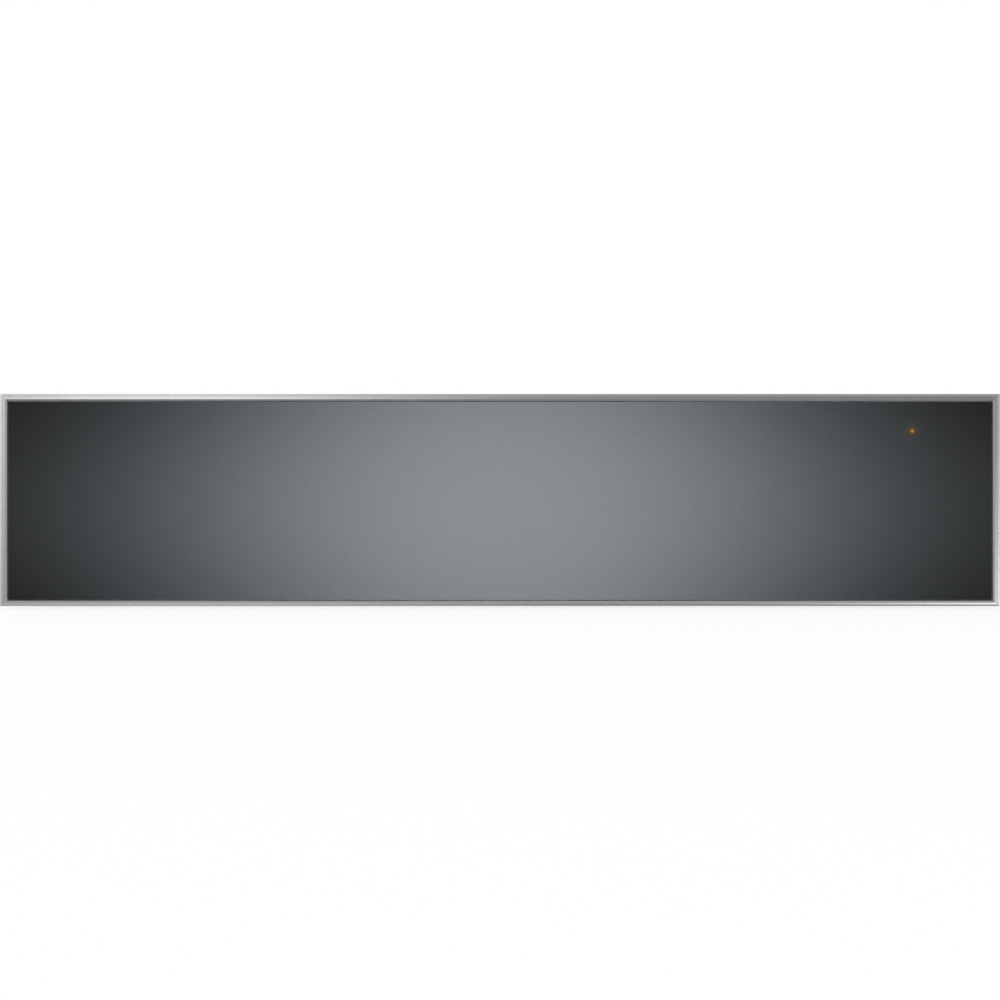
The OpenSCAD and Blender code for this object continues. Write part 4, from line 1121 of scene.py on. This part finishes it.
fan_metal = mottled("aluminium_impeller", metal, (0.55, 0.56, 0.57), (0.72, 0.72, 0.73),
                    (260.0, 4.0), (0.22, 0.42))
size, fan_out = geometry_tree("impeller_tree", ["Tip Radius", "Blade Width", "Blade Length",
                                                "Blade Thickness", "Blade Sweep"])
blade = size["Tip Radius"].node("GeometryNodeMeshCube", {}, {
    "Size": vector(size["Blade Width"], size["Blade Thickness"], size["Blade Length"]),
    "Vertices X": 9, "Vertices Y": 2, "Vertices Z": 4})
blade = blade.node("GeometryNodeTransform", {}, {"Geometry": blade, "Translation": vector(
    size["Tip Radius"] - size["Blade Width"] * 0.5, 0.0, size["Blade Length"] * 0.5)})
here = blade.node("GeometryNodeInputPosition")
outer_part = (here.parts()[0] - size["Tip Radius"]) / size["Blade Width"] + 1.0
bow = vector(0.0, size["Blade Sweep"] * outer_part * (outer_part - 1.0) * 4.0, 0.0)
blade = blade.node("GeometryNodeSetPosition", {}, {"Geometry": blade, "Offset": bow})
impeller_tree = placed(size["Geometry"], blade, fan_out, fan_metal)

impeller_low, impeller_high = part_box("fan_impeller")
fan_radius = (impeller_high.x - impeller_low.x) / 2
fan_front = Vector((fan_axis.x, impeller_low.y, fan_axis.z))
blade_count = 9
grown("impeller_blades", impeller_tree,
      {"Tip Radius": fan_radius * 0.985, "Blade Width": 0.014, "Blade Length": 0.0134,
       "Blade Thickness": 0.0008, "Blade Sweep": 0.0022},
      [(fan_front, Matrix.Rotation(math.radians(360 * number / blade_count), 3, "Y")
        @ Matrix.Rotation(math.radians(-90), 3, "X")) for number in range(blade_count)],
      fan_metal, "fan_impeller")
hub = 0.0060
hub_edge = 0.0004
hub_front = 0.0040
hub_back = 0.0180
shaft = 0.0020
shaft_end = impeller_high.y - impeller_low.y
disc_front = 0.013
disc_back = disc_front + 0.0012
disc_edge = 0.0003
skin("impeller_disc", fan_metal, "fan_impeller", turned([
    (hub / 2, hub_front), (hub - hub_edge, hub_front), (hub, hub_front + hub_edge),
    (hub, disc_front - 0.0008), (hub + 0.0008, disc_front), (fan_radius - disc_edge, disc_front),
    (fan_radius, disc_front + disc_edge), (fan_radius, disc_back - disc_edge),
    (fan_radius - disc_edge, disc_back), (hub, disc_back), (hub, hub_back - hub_edge),
    (hub - hub_edge, hub_back), (shaft, hub_back), (shaft, shaft_end - hub_edge),
    (shaft - hub_edge, shaft_end)], fan_front, (0, 1, 0), 64))


# ---------------------------------------------------------------------------------------------
# Heat sensors on the tray's rear wall: a ceramic-bodied thermistor, and a thermal cut-out with
# two solder tags.
def ceramic(name, colour):
    """Fired ceramic with fine dark specks."""
    def paint(place):
        fired = grain(place, 900.0)
        speckle = grain(place, 3200.0, 1.0).ramp(0.62, 0.70)
        return {
            "Base Color": speckle.mix(colour, [part * 0.7 for part in colour]),
            "Roughness": fired * 0.2 + 0.35,
            "Normal": bump(fired, 0.00003),
        }
    return surface(name, {}, paint)


radius, long, foot = rod(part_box("temperature_sensor"))
skin("thermistor", ceramic("white_ceramic", (0.80, 0.79, 0.75)), "temperature_sensor",
     turned(rounded_rod(radius, 0.0, long, 0.0008, 4), foot, (0, 1, 0)))
formed(ceramic("tan_ceramic", (0.50, 0.36, 0.22)), 0.0003, "thermal_cutout")


# ---------------------------------------------------------------------------------------------
# Front carrier and liner: the carrier sheet holds the glass, and the stainless liner closes the
# front behind it. Four screws tie them to the drawer's chassis.
formed(zinc, sheet_edge, "front_carrier")
formed(stainless, 0.0003, "front_liner")


# ---------------------------------------------------------------------------------------------
# Front glass: toughened glass with a fine metallic grey print. Round the lens, the lamp's light is
# painted into it as a faint emitted glow.
lamp_low, lamp_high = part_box("lamp_lens")
lamp = (lamp_low + lamp_high) / 2


def off_lamp(place):
    """The square of the distance from the lamp's axis."""
    x, _, z = place.parts()
    return (x - lamp.x) * (x - lamp.x) + (z - lamp.z) * (z - lamp.z)


def front_glass_paint(place):
    flakes = grain(place, 2300.0, 1.0)
    cloud = grain(place, 11.0)
    off = off_lamp(place)
    # Painted light: an amber glow round the lens, which the glass itself emits.
    spill = off.math("EXPONENT", -off / 0.0032 ** 2)
    return {
        "Base Color": flakes.ramp(0.3, 0.7).mix((0.131, 0.144, 0.153), (0.147, 0.161, 0.171)),
        "Roughness": flakes * 0.03 + cloud * 0.02 + 0.08,
        "Normal": bump(flakes, 0.000003),
        "Emission Color": spill.mix((0, 0, 0), (0.045, 0.020, 0.001)),
    }


metallic_glass = surface("metallic_grey_glass", {
    "Metallic": 1.0, "Coat Weight": 0.6, "Coat Roughness": 0.04, "Emission Strength": 1.0},
    front_glass_paint)
formed(metallic_glass, 0.00012, "front_glass")


# ---------------------------------------------------------------------------------------------
# Front frame: a drawn aluminium section, mitred at the corners and satin anodised. Its lip
# slopes back to the outer edge and has a fine groove and a chamfer next to the glass.
def frame_paint(place):
    x, _, _ = place.parts()
    on_side = x.math("ABSOLUTE", x).ramp(front_high.x - 0.0046, front_high.x - 0.0044)
    level_lines = grain(place, 22.0, 5.0, 0.6, (1.0, 140.0, 140.0))
    upright_lines = grain(place, 22.0, 5.0, 0.6, (140.0, 140.0, 1.0))
    lines = level_lines * (1.0 - on_side) + upright_lines * on_side
    cloud = grain(place, 30.0)
    return {
        "Base Color": lines.ramp(0.3, 0.7).mix((0.695, 0.69, 0.71), (0.745, 0.74, 0.76)),
        "Roughness": lines * 0.06 + cloud * 0.04 + 0.11,
        "Normal": bump(lines, 0.000003),
    }


satin_metal = surface("satin_anodised_frame", metal, frame_paint)
lip = 0.0041
foot_lip = 0.0030
frame_wall = 0.0015
lip_depth = 0.0050
outer_round = 0.0002
groove_at = 0.0012
groove_half = 0.00018
groove_deep = 0.00006
chamfer_wide = 0.0010
chamfer_deep = 0.00070
outer_slope = math.tan(math.radians(12))
inner_slope = math.tan(math.radians(6))
face_end = lip - chamfer_wide
groove_back = (face_end - groove_at) * inner_slope
outer_back = groove_back + (groove_at - outer_round) * outer_slope
frame_back = front_high.y - front_low.y
frame_profile = [
    (0.0, frame_back), (0.0, outer_back + outer_round), (outer_round, outer_back),
    (groove_at - groove_half, groove_back + groove_half * outer_slope),
    (groove_at, groove_back + groove_deep),
    (groove_at + groove_half, groove_back - groove_half * inner_slope),
    (face_end, 0.0), (lip, chamfer_deep), (lip, lip_depth), (frame_wall, lip_depth),
    (frame_wall, frame_back)]
foot_ratio = (foot_lip - chamfer_wide) / face_end
frame_rings = []
for inset, back in frame_profile:
    foot_inset = {lip: foot_lip, frame_wall: frame_wall}.get(inset, inset * foot_ratio)
    left, right = front_low.x + inset, front_high.x - inset
    bottom, top = front_low.z + foot_inset, front_high.z - inset
    frame_rings.append([Vector((x, front_low.y + back, z)) for x, z in (
        (left, bottom), (right, bottom), (right, top), (left, top))])
skin("mitred_frame", satin_metal, "front_frame", (frame_rings, True), turn=5)


# ---------------------------------------------------------------------------------------------
# Lamp: an amber lens in the glass, a clear light pipe behind it, and a small board with the LED
# in the control box.
def lens_paint(place):
    off = off_lamp(place)
    # Painted light: the lens colour is lighter amber at its centre, where the LED shines through.
    # The emission there is the lamp's own glow.
    core = off.math("EXPONENT", -off / 0.0012 ** 2)
    ring_pitch = 0.0006
    rings = off.math("SINE", off.math("SQRT", off) * (2 * math.pi / ring_pitch))
    return {
        "Base Color": core.mix((0.06, 0.03, 0.006), (0.24, 0.14, 0.035)),
        "Emission Color": core.mix((0.030, 0.014, 0.002), (0.15, 0.093, 0.022)),
        "Normal": bump(rings * 0.5 + 0.5, 0.00003),
    }


amber = surface("amber_lens", {"Roughness": 0.22, "Emission Strength": 1.0}, lens_paint)
lens_back = lamp_high.y - lamp_low.y
lens_radius = 0.0021
flange = (lamp_high.x - lamp_low.x) / 2
flange_front = lens_back - 0.0008
flange_edge = 0.0002
skin("indicator_lens", amber, "lamp_lens", turned([
    (0.0004, 0.0), (0.0010, 0.00007), (0.0015, 0.00022), (0.0019, 0.00048),
    (lens_radius, 0.0008), (lens_radius, flange_front), (flange - flange_edge, flange_front),
    (flange, flange_front + flange_edge), (flange, lens_back - flange_edge),
    (flange - flange_edge, lens_back)], (lamp.x, lamp_low.y, lamp.z), (0, 1, 0), 40))

acrylic = mottled("clear_acrylic", {"Transmission Weight": 0.85, "IOR": 1.49},
                  (0.86, 0.87, 0.87), (0.93, 0.94, 0.94), (900.0, 2.0, 0.5, (1.0, 0.2, 1.0)),
                  (0.02, 0.08))
radius, long, foot = rod(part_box("light_pipe"))
skin("light_pipe_rod", acrylic, "light_pipe", turned(
    rounded_rod(radius, 0.0, long, 0.0004), (lamp.x, foot.y, lamp.z), (0, 1, 0), 32))
formed(circuit_board, 0.00015, "lamp_board")


# ---------------------------------------------------------------------------------------------
# Controls: a moulded box hangs under the tray's ledge and holds the selector switch. On the
# ledge lie a brushed plate with a printed scale and a turned, knurled temperature knob.
formed(plastic("box_moulding", (0.030, 0.030, 0.031), 0.45), 0.0004, "control_box")
formed(plastic("switch_moulding", (0.14, 0.14, 0.145), 0.40), 0.0005, "selector_switch")

plate_low, plate_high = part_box("control_plate")
plate_edge = 0.00025
plate_corner = 0.0025
plate_mesh = skinned("scale_plate", [
    level_ring(plate_low, plate_high, inset, plate_corner - inset, z, 6) for inset, z in (
        (plate_edge, plate_low.z), (0.0, plate_low.z + plate_edge),
        (0.0, plate_high.z - plate_edge), (plate_edge, plate_high.z))])
plate_hole = drill(spindle_hole, (knob_middle.x, knob_middle.y, plate_low.z), (0, 0, 1))
piece("scale_plate", cut("scale_plate", plate_mesh, plate_hole), stainless, "control_plate")

ink = mottled("printed_ink", {}, (0.014, 0.014, 0.015), (0.030, 0.030, 0.032), (1800.0, 2.0),
              (0.4, 0.6))
ink_thick = 0.00004
knob_turn = math.radians(240)
numeral_height = 0.0027
type_size = numeral_height * 1.4
numeral_radius = 0.0126
last_numeral = 4
tick_radius = 0.0100
tick_long = 0.00064
tick_wide = 0.0003
last_tick = 12


def scale_way(mark, last):
    """The way out from the knob's middle to a mark of the scale."""
    angle = math.radians(90) - knob_turn * mark / last
    return Vector((math.cos(angle), math.sin(angle), 0))


scale_shape = bmesh.new()
scale_foot, scale_top = [Vector((knob_middle.x, knob_middle.y, z))
                         for z in (plate_high.z, plate_high.z + ink_thick)]
for mark in range(last_numeral + 1):
    text = bpy.data.curves.new(f"numeral_{mark}", "FONT")
    text.body = str(mark)
    text.size = type_size
    text.align_x = "CENTER"
    text.align_y = "CENTER"
    text.extrude = ink_thick / 2
    numeral = applied(linked(f"numeral_{mark}", text))
    numeral.transform(Matrix.Translation(
        scale_foot + scale_way(mark, last_numeral) * numeral_radius
        + Vector((0, 0, ink_thick / 2))))
    scale_shape.from_mesh(numeral)
for mark in range(last_tick + 1):
    outwards = scale_way(mark, last_tick)
    sideways = Vector((-outwards.y, outwards.x, 0)) * tick_wide / 2
    long = tick_long * (0.6 if mark % 3 else 1.0)
    corners = [outwards * (tick_radius + far * long) + sideways * side
               for far, side in ((0, -1), (1, -1), (1, 1), (0, 1))]
    shell(scale_shape, [[middle + corner for corner in corners]
                        for middle in (scale_foot, scale_top)])
bmesh.ops.remove_doubles(scale_shape, verts=scale_shape.verts, dist=0.000001)
bmesh.ops.recalc_face_normals(scale_shape, faces=scale_shape.faces)
piece("printed_scale", meshed("printed_scale", scale_shape), ink, "control_plate")


def knob_paint(place):
    x, y, z = place.parts()
    off_x = x - knob_middle.x
    off_y = y - knob_middle.y
    radius = off_x.math("SQRT", off_x * off_x + off_y * off_y)
    rings = grain(vector(radius, 0.0, z * 0.2), 5200.0, 2.0)
    handled = grain(place, 120.0)
    return {
        "Base Color": rings.mix((0.56, 0.56, 0.56), (0.70, 0.70, 0.70)),
        "Roughness": rings * 0.12 + handled * 0.10 + 0.12,
        "Normal": bump(rings, 0.00001),
    }


turned_steel = surface("turned_steel", metal, knob_paint)
knob_radius = (knob_high.x - knob_low.x) / 2
knob_tall = knob_high.z - knob_low.z
knurls = 72
knurl_deep = 0.00022
bore = 0.00305
knob_profile = [
    (bore, 0.005), (bore, 0.0), (knob_radius - 0.0014, 0.0), (knob_radius - 0.0010, 0.0004),
    (knob_radius - 0.0004, 0.0008), (knob_radius, 0.0012), (knob_radius, 0.0052),
    (knob_radius - 0.0004, 0.0056), (knob_radius - 0.0010, 0.0060), (knob_radius - 0.0010, 0.0066),
    (knob_radius - 0.0014, knob_tall), (knob_radius * 0.45, knob_tall - 0.0002),
    (0.0006, knob_tall - 0.0003)]
knob_steps = knurls * 4
knob_rings = []
for radius, rise in knob_profile:
    ring = []
    for step in range(knob_steps):
        angle = 2 * math.pi * step / knob_steps
        tooth = knurl_deep * (0.5 - 0.5 * math.cos(knurls * angle)) if radius == knob_radius else 0.0
        ring.append(Vector((knob_middle.x + (radius - tooth) * math.cos(angle),
                            knob_middle.y + (radius - tooth) * math.sin(angle), knob_low.z + rise)))
    knob_rings.append(ring)
knob_mesh = skinned("knurled_knob", knob_rings, turn=40)
line_wide = 0.0012
line_long = 0.005
line_end = knob_middle.y + knob_radius - 0.002
line_foot = knob_high.z - 0.0006
line_top = knob_high.z - 0.00045


def pointer_ring(z):
    """A level ring round the pointer's line."""
    return [Vector((knob_middle.x + x, y, z)) for x, y in outline(
        (-line_wide / 2, line_end - line_long), (line_wide / 2, line_end), 0.0005, 4)]


pointer_cut = [pointer_ring(line_foot), pointer_ring(knob_high.z + 0.001)]
piece("knurled_knob", cut("knurled_knob", knob_mesh, pointer_cut), turned_steel,
      "temperature_knob")
skin("knob_pointer", ink, "temperature_knob", [pointer_ring(line_foot), pointer_ring(line_top)])

low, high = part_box("knob_spindle")
skin("turned_spindle", pin_metal, "knob_spindle", turned(
    rounded_rod((high.x - low.x) / 2, 0.0, high.z - low.z, 0.0004),
    (knob_middle.x, knob_middle.y, low.z), (0, 0, 1), 40))
